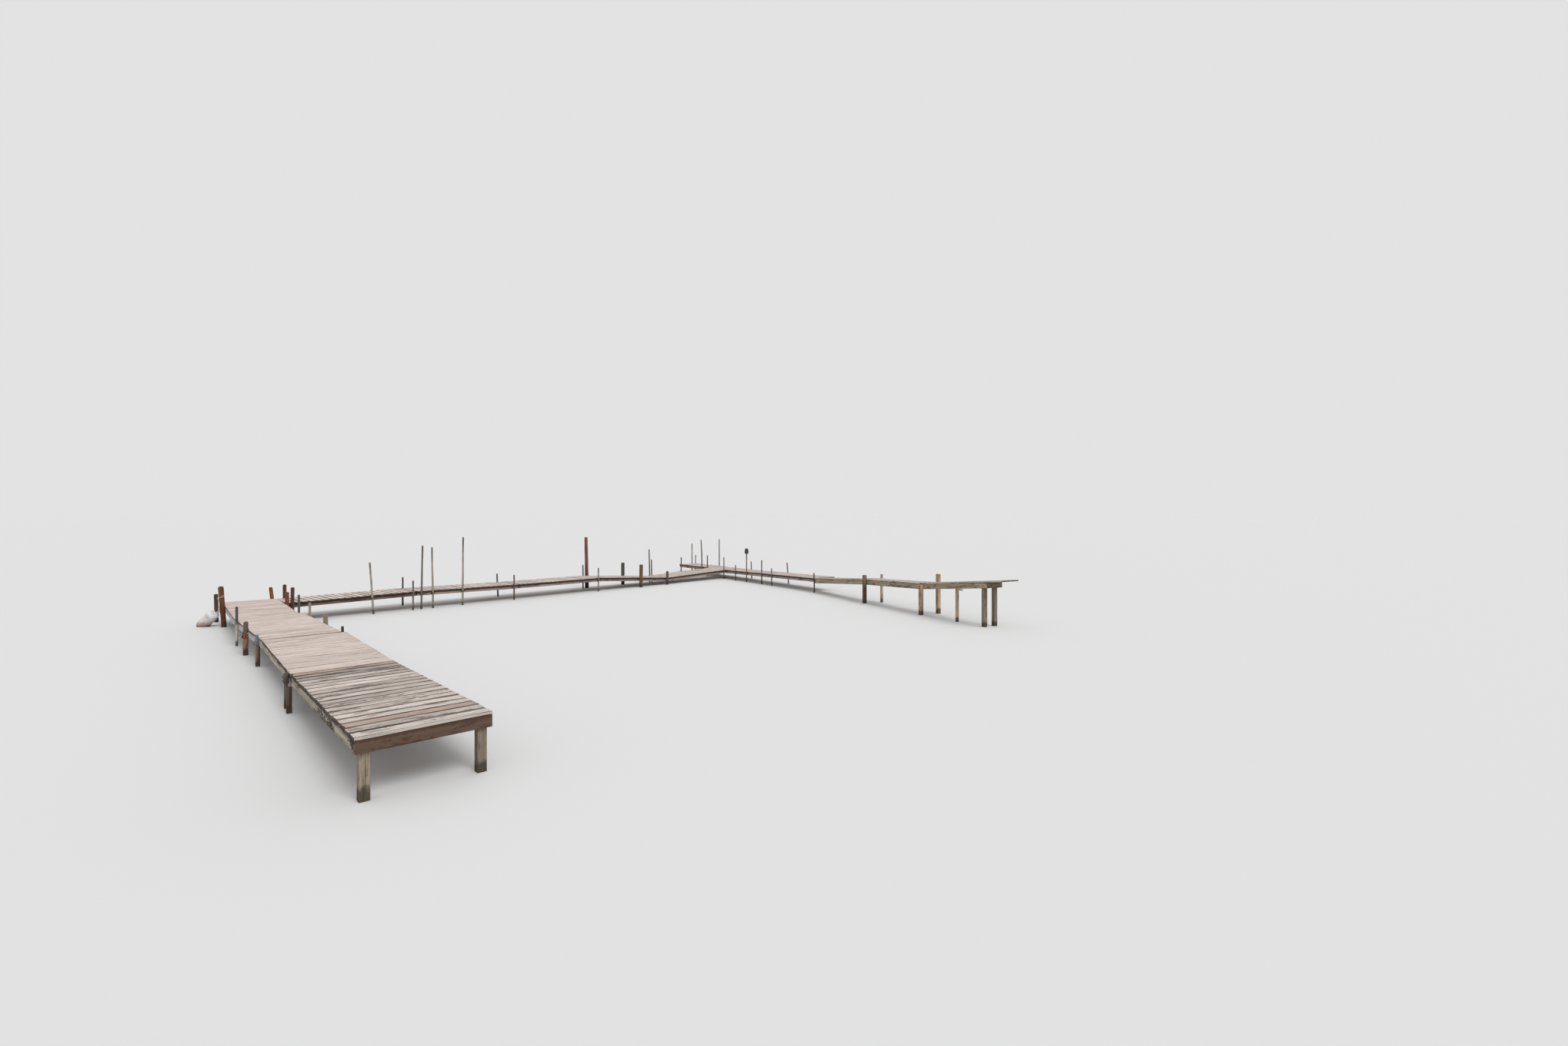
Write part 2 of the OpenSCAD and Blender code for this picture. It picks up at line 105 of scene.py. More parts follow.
class Value:
    """What a node gives. Arithmetic with it adds math nodes."""

    def __init__(self, nodes, socket):
        self.nodes = nodes
        self.socket = socket

    def __add__(self, other):
        return self.nodes.math("ADD", self, other)

    def __sub__(self, other):
        return self.nodes.math("SUBTRACT", self, other)

    def __rsub__(self, other):
        return self.nodes.math("SUBTRACT", other, self)

    def __mul__(self, other):
        return self.nodes.math("MULTIPLY", self, other)

    def __abs__(self):
        return self.nodes.math("ABSOLUTE", self)

    def clamped(self):
        return self.nodes.math("ADD", self, clamp=True)


class Nodes:
    """Adds nodes to one tree and sets the inputs of its last node."""

    def __init__(self, tree, last):
        self.tree = tree
        self.last = last

    def put(self, inputs, values):
        for name, value in values.items():
            if isinstance(value, Value):
                self.tree.links.new(value.socket, inputs[name])
            else:
                inputs[name].default_value = value

    def give(self, values):
        self.put(self.last, values)

    def many(self, kind, inputs=None, **settings):
        """A new node, as the values that it gives."""
        node = self.tree.nodes.new("ShaderNode" + kind)
        for name, value in settings.items():
            setattr(node, name, value)
        self.put(node.inputs, inputs or {})
        return [Value(self, socket) for socket in node.outputs]

    def one(self, kind, inputs=None, pick=0, **settings):
        return self.many(kind, inputs, **settings)[pick]

    def math(self, operation, a, b=0.0, clamp=False):
        return self.one("Math", {0: a, 1: b}, operation=operation, use_clamp=clamp)

    def mix(self, share, a, b, blend="MIX"):
        return self.one("Mix", {0: share, 6: a, 7: b}, 2, data_type="RGBA", blend_type=blend)

    def shade(self, colour, share):
        """A colour made darker or lighter."""
        share = self.one("CombineColor", {0: share, 1: share, 2: share})
        return self.mix(1.0, colour, share, "MULTIPLY")

    def step(self, value, low, high):
        """0 below low, 1 above high and smooth between them."""
        ends = {"Value": value, "From Min": low, "From Max": high}
        return self.one("MapRange", ends, interpolation_type="SMOOTHSTEP")

    def noise(self, place, scale=1.0, detail=3.0, distortion=0.0, roughness=0.55):
        looks = {"Scale": scale, "Detail": detail, "Distortion": distortion, "Roughness": roughness}
        return self.one("TexNoise", {"Vector": place, **looks})

    def place(self):
        """Object coordinates."""
        return self.one("TexCoord", pick=3)

    def uv(self, name):
        return self.one("UVMap", uv_map=name)

    def attribute(self, name, pick=0):
        return self.one("Attribute", pick=pick, attribute_name=name)

    def surface(self, colour, rough, strength, distance, height):
        """What the whole material looks like, with its relief."""
        relief = self.one("Bump", {"Strength": strength, "Distance": distance, "Height": height})
        self.give({"Base Color": colour, "Roughness": rough, "Normal": relief})


def new_group(name, inputs, outputs):
    """A node group and what goes into it: a kind of socket, or a number."""
    tree = bpy.data.node_groups.new(name, "ShaderNodeTree")
    for label, value in inputs.items():
        kind = value if isinstance(value, str) else FLOAT
        socket = tree.interface.new_socket(label, in_out="INPUT", socket_type=kind)
        if kind != value:
            socket.default_value = value
    for label, kind in outputs.items():
        tree.interface.new_socket(label, in_out="OUTPUT", socket_type=kind)
    nodes = Nodes(tree, tree.nodes.new("NodeGroupOutput").inputs)
    start = tree.nodes.new("NodeGroupInput").outputs
    return nodes, {socket.name: Value(nodes, socket) for socket in start}


def new_material(name):
    material = bpy.data.materials.new(name)
    material.use_nodes = True
    tree = material.node_tree
    return material, Nodes(tree, tree.nodes["Principled BSDF"].inputs)


# Weathered timber: grain, dark streaks, drying cracks, darkened edges and dark ends; the edges and a top band
# carry painted shade

TIMBER_SHARES = (
    "Streaks", "Patches", "Cracks", "Tone Range", "Red Boards", "Edge Width", "Edges", "Edge Breaks",
    "Band", "Band From", "Ends")
TIMBER_COLOURS = (
    "Pale", "Deep", "Streak Colour", "Edge Colour", "Band Colour", "End Colour", "Stain Colour")


def make_timber_group():
    inputs = {"Grain Map": VECTOR, "Place Map": VECTOR, "Board": COLOUR, "Stain And Shade": 0.0}
    inputs |= dict.fromkeys(TIMBER_COLOURS, COLOUR) | dict.fromkeys(TIMBER_SHARES, 0.5)
    outputs = {"Color": COLOUR, "Height": FLOAT, "Roughness": FLOAT}
    n, start = new_group("weathered timber", inputs, outputs)
    u, v, _ = n.many("SeparateXYZ", {0: start["Grain Map"]})
    _, up, _ = n.many("SeparateXYZ", {0: start["Place Map"]})
    tone, cut_end, seed = n.many("SeparateColor", {0: start["Board"]})

    def grain(scale_u, scale_v, scale_w, detail, distortion=0.0, roughness=0.55, v=v):
        """Noise stretched along the grain, different for every board."""
        parts = {"X": u * scale_u, "Y": v * scale_v, "Z": seed * scale_w}
        return n.noise(n.one("CombineXYZ", parts), 1.0, detail, distortion, roughness)

    fibres = grain(3.0, 210, 91, 4, roughness=0.7)
    bands = grain(0.8, 46, 57, 3, 0.5)
    patches = grain(3.2, 11, 23, 4)
    mottle = grain(16, 75, 43, 4, roughness=0.65)
    streaks = n.step(grain(1.7, 70, 131, 3, 0.3), 0.53, 0.68) * n.step(patches, 0.38, 0.6)
    streaks = (streaks * start["Streaks"]).clamped()
    decay = grain(1.9, 6, 77, 2) * 0.55 + grain(9, 42, 61, 5, 0.6, 0.7) * 0.6
    decay = (n.step(decay, 0.61, 0.67) * start["Patches"]).clamped()
    crack = 1 - n.step(abs(grain(1.6, 95, 17, 1, roughness=0.4) - 0.5), 0.004, 0.02)
    crack = (crack * n.step(patches, 0.5, 0.62) * start["Cracks"]).clamped()

    colour = n.mix(n.step(fibres * 0.5 + bands * 0.55, 0.36, 0.7), start["Deep"], start["Pale"])
    lift = (tone - 0.5) * start["Tone Range"] + 1.0 + (patches - 0.5) * 0.45 + (mottle - 0.5) * 0.45
    colour = n.shade(colour, lift)
    redness = n.step(tone, 0.88, 0.95) * start["Red Boards"]
    colour = n.mix(redness, colour, (0.56, 0.46, 0.41, 1), "MULTIPLY")
    for dark in (streaks, decay):
        colour = n.mix(dark, colour, start["Streak Colour"])

    wobble = grain(6.0, 18, 7, 4)
    # Darker edges: on the deck boards this is painted shade, the dark of the gaps between the boards painted
    # along each board's edge; on stringers and posts it darkens their edges the same way
    inner = 1 - start["Edge Width"]
    worn = n.step(abs(up) + (wobble - 0.5) * 0.35, inner, start["Edge Width"] * 0.35 + inner)
    breaks = (1 - n.step(grain(2.4, 2.0, 29, 3, roughness=0.6, v=up), 0.42, 0.6)) * start["Edge Breaks"]
    worn = worn * (1 - cut_end) * (1 - breaks)
    colour = n.mix(worn * start["Edges"], colour, start["Edge Colour"])

    # A dark band towards the top of a piece: on the stringers it is painted shadow, the shade under the
    # boards' overhang; on the poles it darkens their upper ends
    high = (wobble - 0.5) * 0.7 + up + (grain(26, 26, 3, 4, roughness=0.65) - 0.5) * 0.8
    band = n.step(high, start["Band From"], start["Band From"] + 0.3) * start["Band"]
    colour = n.mix(band, colour, start["Band Colour"])
    # The stain share lays the stain colour over a face: a real stain at the legs' joints, and painted shade
    # on the stringers' headers
    colour = n.mix(start["Stain And Shade"], colour, start["Stain Colour"])
    colour = n.mix(crack, colour, (0.02, 0.017, 0.014, 1))

    ring = n.one("VectorMath", {0: start["Place Map"]}, 1, operation="LENGTH")
    ring = n.math("SINE", ring * 55.0 + wobble * 5.0) * 0.13 + 0.87
    sawn = n.shade(n.mix(start["Ends"], colour, start["End Colour"]), ring)
    height = fibres * 0.35 + bands * 0.65 - crack * 1.6
    n.give({"Color": n.mix(cut_end, colour, sawn), "Height": height, "Roughness": fibres * 0.14 + 0.76})
    return n.tree


def make_waterline_group():
    """Dark wet band and green growth close to the water line, fading upwards."""
    inputs = {"Position": VECTOR, "Base": COLOUR, "Wet Height": 0.1, "Wet Colour": COLOUR}
    n, start = new_group("water line", inputs, {"Color": COLOUR})
    place = start["Position"]
    height = n.one("SeparateXYZ", {0: place}, 2)
    raised = (n.noise(place, 9) - 0.5) * -0.14 + height
    wet = 1 - n.step(raised, start["Wet Height"] * 0.55, start["Wet Height"])
    colour = n.mix(wet * 0.8, start["Base"], start["Wet Colour"])
    growth = wet * n.step(n.noise(place, 38, 4), 0.5, 0.66) * 0.5
    n.give({"Color": n.mix(growth, colour, (0.045, 0.06, 0.02, 1))})
    return n.tree


timber_group = make_timber_group()
waterline_group = make_waterline_group()


def wet_foot(n, colour, height, wet_colour):
    inputs = {"Position": n.place(), "Base": colour, "Wet Height": height, "Wet Colour": wet_colour}
    return n.one("Group", inputs, node_tree=waterline_group)


def timber(name, shares, colours, wet=0.0, bump=0.5):
    """One weathered timber, in its own colours or tinted piece by piece."""
    material, n = new_material(name)
    looks = dict(zip(TIMBER_SHARES, shares))
    looks.update((label, srgb(*rgb)) for label, rgb in zip(TIMBER_COLOURS, colours) if rgb)
    if "Pale" not in looks:
        tint = n.attribute("tint")
        for label, share in (("Pale", 1.25), ("Deep", 0.7), ("Streak Colour", 0.3)):
            looks[label] = n.mix(1.0, tint, grey(share), "MULTIPLY")
    looks["Grain Map"] = n.uv("grain")
    looks["Place Map"] = n.uv("place")
    looks["Board"] = n.attribute("board")
    looks["Stain And Shade"] = n.attribute("board", 3)
    colour, height, rough = n.many("Group", looks, node_tree=timber_group)
    if wet:
        colour = wet_foot(n, colour, wet, (0.035, 0.027, 0.02, 1))
    n.surface(colour, rough, bump, 0.004, height)
    n.give({"Specular IOR Level": 0.25})
    return material


# Each timber has its shares and its colours in the order of the two lists above

# On the deck boards Edge Colour is painted shade: the dark of the gaps between the boards
WOODS = {
    "ramp boards": (
        (0.6, 0.8, 0.9, 0.6, 0.9, 0.28, 0.95, 0.35, 0, 0.05, 0.85),
        ((230, 222, 215), (168, 152, 141), (74, 64, 60), (74, 58, 48), None, (50, 44, 38), (176, 168, 160))),
    "leg deck boards": (
        (0.6, 0.4, 0.4, 0.2, 0.3, 0.09, 0.85, 0.8, 0, 0.05, 0.9),
        ((226, 214, 206), (190, 174, 164), (140, 118, 106), (118, 98, 86), None, (46, 40, 36), (60, 50, 42))),
    "cross deck boards": (
        (0.5, 0.4, 0.4, 0.26, 0.5, 0.22, 1, 0.2, 0, 0.05, 0.95),
        ((228, 216, 208), (198, 182, 172), (132, 112, 100), (66, 48, 40), None, (52, 42, 36), (60, 46, 38))),
    "bank planks": (
        (0.8, 0.6, 0.8, 0.16, 0, 0.1, 0.8, 0.7, 0, 0.05, 0.9),
        ((216, 206, 194), (168, 156, 140), (92, 80, 68), (88, 74, 62), None, (58, 48, 40), (60, 50, 42))),
    # For the stringers Band Colour is painted shadow under the boards' overhang, and Stain Colour is painted
    # shade on their headers
    "rotten leg stringers": (
        (1, 1, 1, 0.2, 0, 0.14, 0.8, 0.8, 0.9, 0.42, 0.9),
        ((204, 192, 176), (134, 122, 106), (40, 34, 30), (52, 44, 36), (38, 33, 28), (38, 33, 30),
         (78, 54, 42)),
        0, 0.9),
    "grey leg stringers": (
        (0.6, 0.6, 0.5, 0.15, 0, 0.1, 0.5, 0.8, 0.8, 0.72, 0.8),
        ((206, 206, 204), (158, 156, 152), (80, 74, 68), (72, 66, 60), (70, 62, 54), (60, 54, 48),
         (78, 60, 48))),
    "brown cross stringers": (
        (0.9, 0.6, 0.5, 0.15, 0, 0.1, 0.6, 0.5, 0.9, -0.05, 0.8),
        ((124, 100, 84), (80, 60, 48), (44, 34, 28), (52, 40, 32), (46, 36, 30), (60, 46, 38), (66, 48, 38))),
    "cross stringers": (
        (0.9, 0.7, 0.5, 0.25, 0, 0.1, 0.6, 0.5, 0.92, 0, 0.8),
        ((172, 154, 144), (122, 102, 90), (66, 48, 40), (70, 54, 46), (52, 42, 36), (70, 54, 44),
         (70, 50, 40))),
    "return stringers": (
        (1, 1, 0.6, 0.2, 0, 0.4, 0.85, 0.7, 0.9, 0.3, 0.8),
        ((178, 164, 150), (128, 112, 98), (60, 46, 38), (62, 48, 40), (54, 44, 38), (70, 54, 44),
         (70, 50, 40))),
    "bank stringers": (
        (1, 0.9, 0.8, 0.2, 0, 0.2, 0.8, 0.7, 0.7, 0.6, 0.8),
        ((182, 168, 146), (134, 118, 96), (70, 56, 44), (66, 54, 42), (64, 52, 42), (60, 50, 42),
         (80, 64, 50))),
    "square posts": (
        (0.8, 0.7, 0.9, 0.3, 0, 0.1, 0.6, 0.5, 0, 0.05, 0.5),
        (None, None, None, (70, 58, 46), None, (110, 98, 84), None), 0.14, 0.7),
    "poles": (
        (0.8, 0.4, 0.8, 0.4, 0, 0.1, 0, 0.5, 0.6, 0.55, 0.7),
        (None, None, None, None, (58, 52, 46), (60, 54, 48), None), 0.14, 0.7),
    "round logs": (
        (0.9, 0.6, 0.9, 0.15, 0, 0.1, 0, 0.5, 0, 0.05, 0.4),
        (None, None, None, None, None, (120, 104, 88), None), 0.16, 0.9),
}
WOODS = {name: timber(name, *row) for name, row in WOODS.items()}

# Metal, plastic and rope


def make_zinc_group():
    """Zinc-coated steel gone dull, with patches of rust."""
    outputs = {"Color": COLOUR, "Metallic": FLOAT, "Roughness": FLOAT, "Height": FLOAT}
    n, start = new_group("old zinc", {"Position": VECTOR, "Base": COLOUR, "Rust": 0.1}, outputs)
    place = start["Position"]
    spangle = n.one("TexVoronoi", {"Vector": place, "Scale": 90.0})
    cloud = n.noise(place, 7, 5)
    colour = n.shade(start["Base"], spangle * 0.25 + cloud * 0.5 + 0.55)
    rust = n.step(n.noise(place, 16, 6, roughness=0.7), 0.62 - start["Rust"], 0.7)
    n.give({
        "Color": n.mix(rust, colour, srgb(116, 62, 34)), "Metallic": (0.75 - rust * 0.7).clamped(),
        "Roughness": rust * 0.35 + cloud * 0.2 + 0.4, "Height": rust})
    return n.tree


def make_strand_group():
    """Three-strand rope: grooves that wind round it, from its own map, painted darker as painted shade."""
    inputs = {"Map": VECTOR, "Position": VECTOR, "Pale": COLOUR, "Dark": COLOUR}
    n, start = new_group("three-strand rope", inputs, {"Color": COLOUR, "Height": FLOAT})
    u, v, _ = n.many("SeparateXYZ", {0: start["Map"]})
    strand = n.math("SINE", (u * 26.0 + v * 3.0) * (2 * math.pi)) * 0.5 + 0.5
    fluff = n.noise(start["Position"], 160, 4)
    # Painted shade: the grooves between the strands are painted in the dark colour
    colour = n.mix(n.step(strand, 0.05, 0.5), start["Dark"], start["Pale"])
    n.give({"Color": n.mix(fluff * 0.4, colour, start["Dark"]), "Height": fluff * 0.3 + strand})
    return n.tree


def make_paint_group():
    """Dull dark paint or rubber, worn paler in places."""
    outputs = {"Color": COLOUR, "Roughness": FLOAT, "Height": FLOAT}
    n, start = new_group("dull dark paint", {"Position": VECTOR, "Dark": COLOUR, "Worn": COLOUR}, outputs)
    cloud = n.noise(start["Position"], 22, 5)
    colour = n.mix(n.step(cloud, 0.4, 0.65), start["Dark"], start["Worn"])
    n.give({"Color": colour, "Roughness": cloud * 0.3 + 0.45, "Height": cloud})
    return n.tree


zinc_group = make_zinc_group()
strand_group = make_strand_group()
paint_group = make_paint_group()


def galvanised(name, rust_amount, base=None):
    """Old zinc-coated steel, in one colour or in the colours of its own layer."""
    material, n = new_material(name)
    inputs = {"Position": n.place(), "Rust": rust_amount, "Base": base or n.attribute("tint")}
    colour, bare, rough, rust = n.many("Group", inputs, node_tree=zinc_group)
    colour = wet_foot(n, colour, 0.14, (0.05, 0.035, 0.02, 1))
    n.surface(colour, rough, 0.35, 0.001, rust)
    n.give({"Metallic": bare})
    return material


def chalky_plastic(name):
    """Chalky white plastic, stained brown towards the water."""
    material, n = new_material(name)
    place = n.place()
    cloud = n.noise(place, 14, 5)
    drips = n.noise(n.one("Mapping", {"Vector": place, "Scale": (40, 40, 5)}))
    raised = (cloud - 0.5) * -0.08 + n.one("SeparateXYZ", {0: place}, 2)
    colour = n.mix(n.step(cloud, 0.35, 0.7), srgb(218, 217, 217), srgb(196, 194, 193))
    colour = n.mix(n.step(drips, 0.55, 0.8) * 0.22, colour, srgb(150, 140, 126))
    colour = n.mix((1 - n.step(raised, 0.03, 0.15)) * 0.85, colour, srgb(150, 98, 64))
    colour = n.mix((1 - n.step(raised, 0.0, 0.045)) * 0.85, colour, srgb(62, 44, 28))
    n.surface(colour, cloud * 0.2 + 0.4, 0.15, 0.002, cloud)
    return material


def twisted_rope(name, pale, dark):
    material, n = new_material(name)
    inputs = {"Map": n.uv("grain"), "Position": n.place(), "Pale": pale, "Dark": dark}
    colour, height = n.many("Group", inputs, node_tree=strand_group)
    n.surface(colour, 0.9, 0.9, 0.003, height)
    return material


def dark_paint(name, dark, worn):
    material, n = new_material(name)
    inputs = {"Position": n.place(), "Dark": dark, "Worn": worn}
    colour, rough, height = n.many("Group", inputs, node_tree=paint_group)
    n.surface(colour, rough, 0.3, 0.002, height)
    return material


old_zinc = galvanised("galvanised steel", 0.0)
dull_iron = galvanised("dull strap steel", 0.06, srgb(112, 108, 102))
rusty_iron = galvanised("rusty nails and bolts", 0.16, srgb(96, 84, 76))
float_white = chalky_plastic("float plastic")
bung_dark = dark_paint("dark bung", srgb(22, 22, 22), srgb(44, 42, 40))
rope_white = twisted_rope("white rope", srgb(226, 214, 206), srgb(164, 144, 132))
rope_brown = twisted_rope("brown rope", srgb(142, 98, 70), srgb(64, 42, 32))
cap_dark = dark_paint("dark cap", srgb(32, 37, 33), srgb(58, 63, 56))

# Tones of the single posts, logs and steel legs, the nearest place wins

TONES = {
    "rust": (128, 74, 52), "orange": (140, 88, 56), "corner": (112, 70, 48), "dark red": (94, 66, 56),
    "brown": (100, 70, 54), "olive": (78, 66, 50), "grey tan": (136, 124, 108), "roped top": (98, 86, 78),
    "pinkish": (150, 114, 98), "black brown": (66, 50, 42), "ochre": (118, 92, 66), "dark grey": (88, 86, 80),
    "tan": (134, 116, 92), "sunlit": (192, 162, 134), "pile": (126, 88, 80), "pile foot": (66, 54, 50),
    # The pale tone that the slim posts get on their lit side is painted light
    "painted_lit_side": (168, 142, 128), "pole": (122, 114, 104), "pale pole": (146, 138, 128),
    "dark pole": (84, 80, 74), "brown pole": (122, 98, 86), "green pole": (96, 102, 90),
    "dark steel": (84, 84, 88), "pale steel": (200, 190, 182), "blue grey": (120, 126, 130),
    "green grey": (90, 98, 86), "brown steel": (104, 94, 88), "black steel": (62, 62, 58),
    "beige steel": (156, 148, 134),
}
TONES = {name: srgb(*rgb) for name, rgb in TONES.items()}


def plain_rows(lower, places):
    """Rows of pieces with one tone down to the water line and another at it."""
    return [(x, y, tone, 0, lower) for tone, spots in places.items() for x, y in spots]


# Each row is a place in metres, the tone above a height, that height and the tone below it
WOOD_TONES = plain_rows("tan", {
    "grey tan": [(-9.15, -7.61), (-8.17, -7.73), (3.11, -7.91), (3.38, -8.02)],
    "dark grey": [(3.38, 5.89), (4.43, 4.68)], "ochre": [(3.26, 4.68)],
    "sunlit": [(3.78, -5.93), (4.3, -6.15), (5.22, -3.88), (3.38, -7.11)],
    "black brown": [(-8.46, -0.41), (-8.85, -3.98), (-7.65, -4.12)],
    "orange": [(-6.86, 5.9)], "dark red": [(-6.65, 5.89)], "rust": [(-6.94, 4.41)],
}) + [
    (4.75, -3.61, "tan", 0.5, "brown"), (-7.94, 6.02, "olive", 0.45, "dark red"),
    (-7.98, 5.04, "corner", 0.2, "brown"), (-8.38, 0.86, "roped top", 0.36, "pinkish"),
    (-6.78, 4.68, "dark red", 0.35, "brown"), (-7.2, 0.66, "grey tan", 0.3, "olive"),
]
POLE_TONES = plain_rows("pole", {
    "pole": [(-3.94, 4.7), (1.55, 4.7), (9.0, 8.5), (7.3, 4.7)], "pale pole": [(-5.07, 4.7), (-3.63, 4.7)],
    "dark pole": [(-3.97, 5.87), (-1.26, 5.87), (1.73, 5.87), (4.62, 5.87), (7.84, 6.56), (5.89, -0.91)],
    "brown pole": [(-1.35, 4.7), (7.17, 3.93), (6.96, 3.15), (6.7, 2.14), (6.54, 1.5), (7.47, 1.51)],
    "green pole": [(8.75, 6.46)],
})
PILE_TONES = [(1.9, 5.9, "pile", 0.3, "pile foot")]
STEEL_TONES = [
    (-8.28, 2.05, "dark steel", 0.4, "pale steel"), (-8.45, -0.33, "blue grey", 0.3, "pale steel"),
    (-8.82, -3.7, "brown steel", 0.1, "black steel"), (-7.16, 2.6, "green grey", 0, "tan"),
    (-7.12, 1.99, "beige steel", 0, "tan"), (-7.31, -0.66, "black steel", 0.3, "pale steel"),
]
# The way that the lit side of the slim posts faces: that side is painted paler, as painted light
LIT_SIDE_DIRECTION = Vector((-0.93, -0.37, 0))


def tone_at(rows, foot, height):
    row = min(rows, key=lambda row: math.hypot(row[0] - foot.x, row[1] - foot.y))
    upper, change, lower = row[2:]
    share = min(1.0, max(0.0, (height - change) / 0.06 + 0.5))
    return tuple(b + (a - b) * share for a, b in zip(TONES[upper], TONES[lower]))


# Pieces made from the CAD nodes' own solids


def node_shape(*names):
    """A CAD node's own shape, its loose triangles merged into whole faces."""
    shape = bmesh.new()
    for name in names:
        shape.from_mesh(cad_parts[name].data)
    bmesh.ops.remove_doubles(shape, verts=shape.verts, dist=0.00005)
    bmesh.ops.dissolve_limit(shape, angle_limit=math.radians(0.5), verts=shape.verts, edges=shape.edges)
    return shape


def separate_solids(shape):
    """The vertices of each solid in a shape, as lists."""
    solids = []
    seen = set()
    for first in shape.verts:
        if first in seen:
            continue
        seen.add(first)
        solid = [first]
        for vertex in solid:
            for edge in vertex.link_edges:
                other = edge.other_vert(vertex)
                if other not in seen:
                    seen.add(other)
                    solid.append(other)
        solids.append(solid)
    return solids


def faces_of(solid):
    return {face for vertex in solid for face in vertex.link_faces}


def reach_of(solid, direction):
    values = [vertex.co.dot(direction) for vertex in solid]
    return min(values), max(values)


def cut_at(shape, place, normal, **settings):
    everything = shape.verts[:] + shape.edges[:] + shape.faces[:]
    return bmesh.ops.bisect_plane(shape, geom=everything, plane_co=place, plane_no=normal, **settings)


def slice_along(shape, direction, step):
    """Cuts every face in even steps along a direction, so that the piece can bend."""
    low, high = reach_of(shape.verts, direction)
    count = int((high - low) / step)
    for i in range(1, count):
        cut_at(shape, direction * (low + (high - low) * i / count), direction)


def bevel_corners(shape, width):
    sharp = [e for e in shape.edges if len(e.link_faces) == 2 and e.is_convex and e.calc_face_angle() > 0.6]
    bmesh.ops.bevel(
        shape, geom=sharp, offset=width, offset_type="OFFSET", segments=2, profile=0.5, affect="EDGES",
        clamp_overlap=True, material=-1)


def to_object(shape, name, material, smooth=False):
    mesh = bpy.data.meshes.new(name)
    shape.normal_update()
    shape.to_mesh(mesh)
    shape.free()
    for polygon in mesh.polygons:
        polygon.use_smooth = smooth
    mesh.materials.append(material)
    obj = bpy.data.objects.new(name, mesh)
    scene.collection.objects.link(obj)
    if smooth:
        mesh.set_sharp_from_angle(angle=math.radians(40))
    return obj


def finish_piece(obj, slot, *nodes):
    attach(obj, "root")
    if nodes:
        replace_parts(obj, *nodes)
    return obj


def surface_of(*objects):
    """What a ray or a nearest point is looked up in."""
    shape = bmesh.new()
    for obj in objects:
        shape.from_mesh(obj.data)
    tree = BVHTree.FromBMesh(shape)
    shape.free()
    return tree


def add_maps(shape):
    """The layers that the timber materials read."""
    layers = shape.loops.layers
    return layers.uv.new("grain"), layers.uv.new("place"), layers.float_color.new("board")


def set_maps(loop, layers, seed, tone, u, v, place, cut=0.0, stain_and_shade=0.0):
    """Grain in metres, moved on for each piece, and the place on it from -1 to 1."""
    grain_map, place_map, board = layers
    loop[grain_map].uv = (u + seed * 17, v + seed * 5)
    loop[place_map].uv = place
    loop[board] = (tone, cut, seed, stain_and_shade)


def spread(value, low, high):
    return 2 * (value - low) / max(high - low, 0.001) - 1


def rise_of(shape, ahead):
    """How much a bay climbs for each metre, read off its top at both ends."""
    low, high = reach_of(shape.verts, ahead)
    start_top = max(v.co.z for v in shape.verts if v.co.dot(ahead) < low + 0.1)
    end_top = max(v.co.z for v in shape.verts if v.co.dot(ahead) > high - 0.1)
    return (end_top - start_top) / (high - low)


def board_maps(solid, grain, side, tone, seed, layers, outer_side, pale):
    """Lays the grain along a board, and lays its stain colour over the board's outer side by a share."""
    third = grain.cross(side)
    grain_reach = reach_of(solid, grain)
    side_reach = reach_of(solid, side)
    for face in faces_of(solid):
        facing_side = abs(face.normal.dot(side)) > 0.7
        facing_end = abs(face.normal.dot(grain)) > 0.7
        outer = outer_side is not None and abs(face.normal.dot(outer_side)) > 0.7
        for loop in face.loops:
            t, off, deep = (loop.vert.co.dot(way) for way in (grain, side, third))
            place = (spread(t, *grain_reach), 0.0 if outer else spread(off, *side_reach))
            u, v = (deep, off) if facing_end else (t, deep if facing_side else off)
            set_maps(loop, layers, seed, tone, u, v, place, float(facing_end), pale if outer else 0.0)


def frame_maps(solid, ahead, side, tone, seed, layers, header_shade):
    """As board_maps, for a whole frame: its headers' grain runs across the walkway."""
    third = ahead.cross(side)
    ahead_reach = reach_of(solid, ahead)
    side_reach = reach_of(solid, side)
    third_reach = reach_of(solid, third)
    for face in faces_of(solid):
        header = abs(face.normal.dot(ahead)) > 0.7
        flat = abs(face.normal.dot(third)) > 0.7
        for loop in face.loops:
            t, off, deep = (loop.vert.co.dot(way) for way in (ahead, side, third))
            high = spread(deep, *third_reach)
            v = off if flat else deep
            # The headers' faces are darkened towards their stain colour: painted shade, for the shadow that
            # they stand in under the boards
            if header:
                place = (spread(off, *side_reach), high)
                set_maps(loop, layers, seed, tone, off + 3.1, v, place, stain_and_shade=header_shade)
            else:
                set_maps(loop, layers, seed, tone, t, v, (spread(t, *ahead_reach), high))


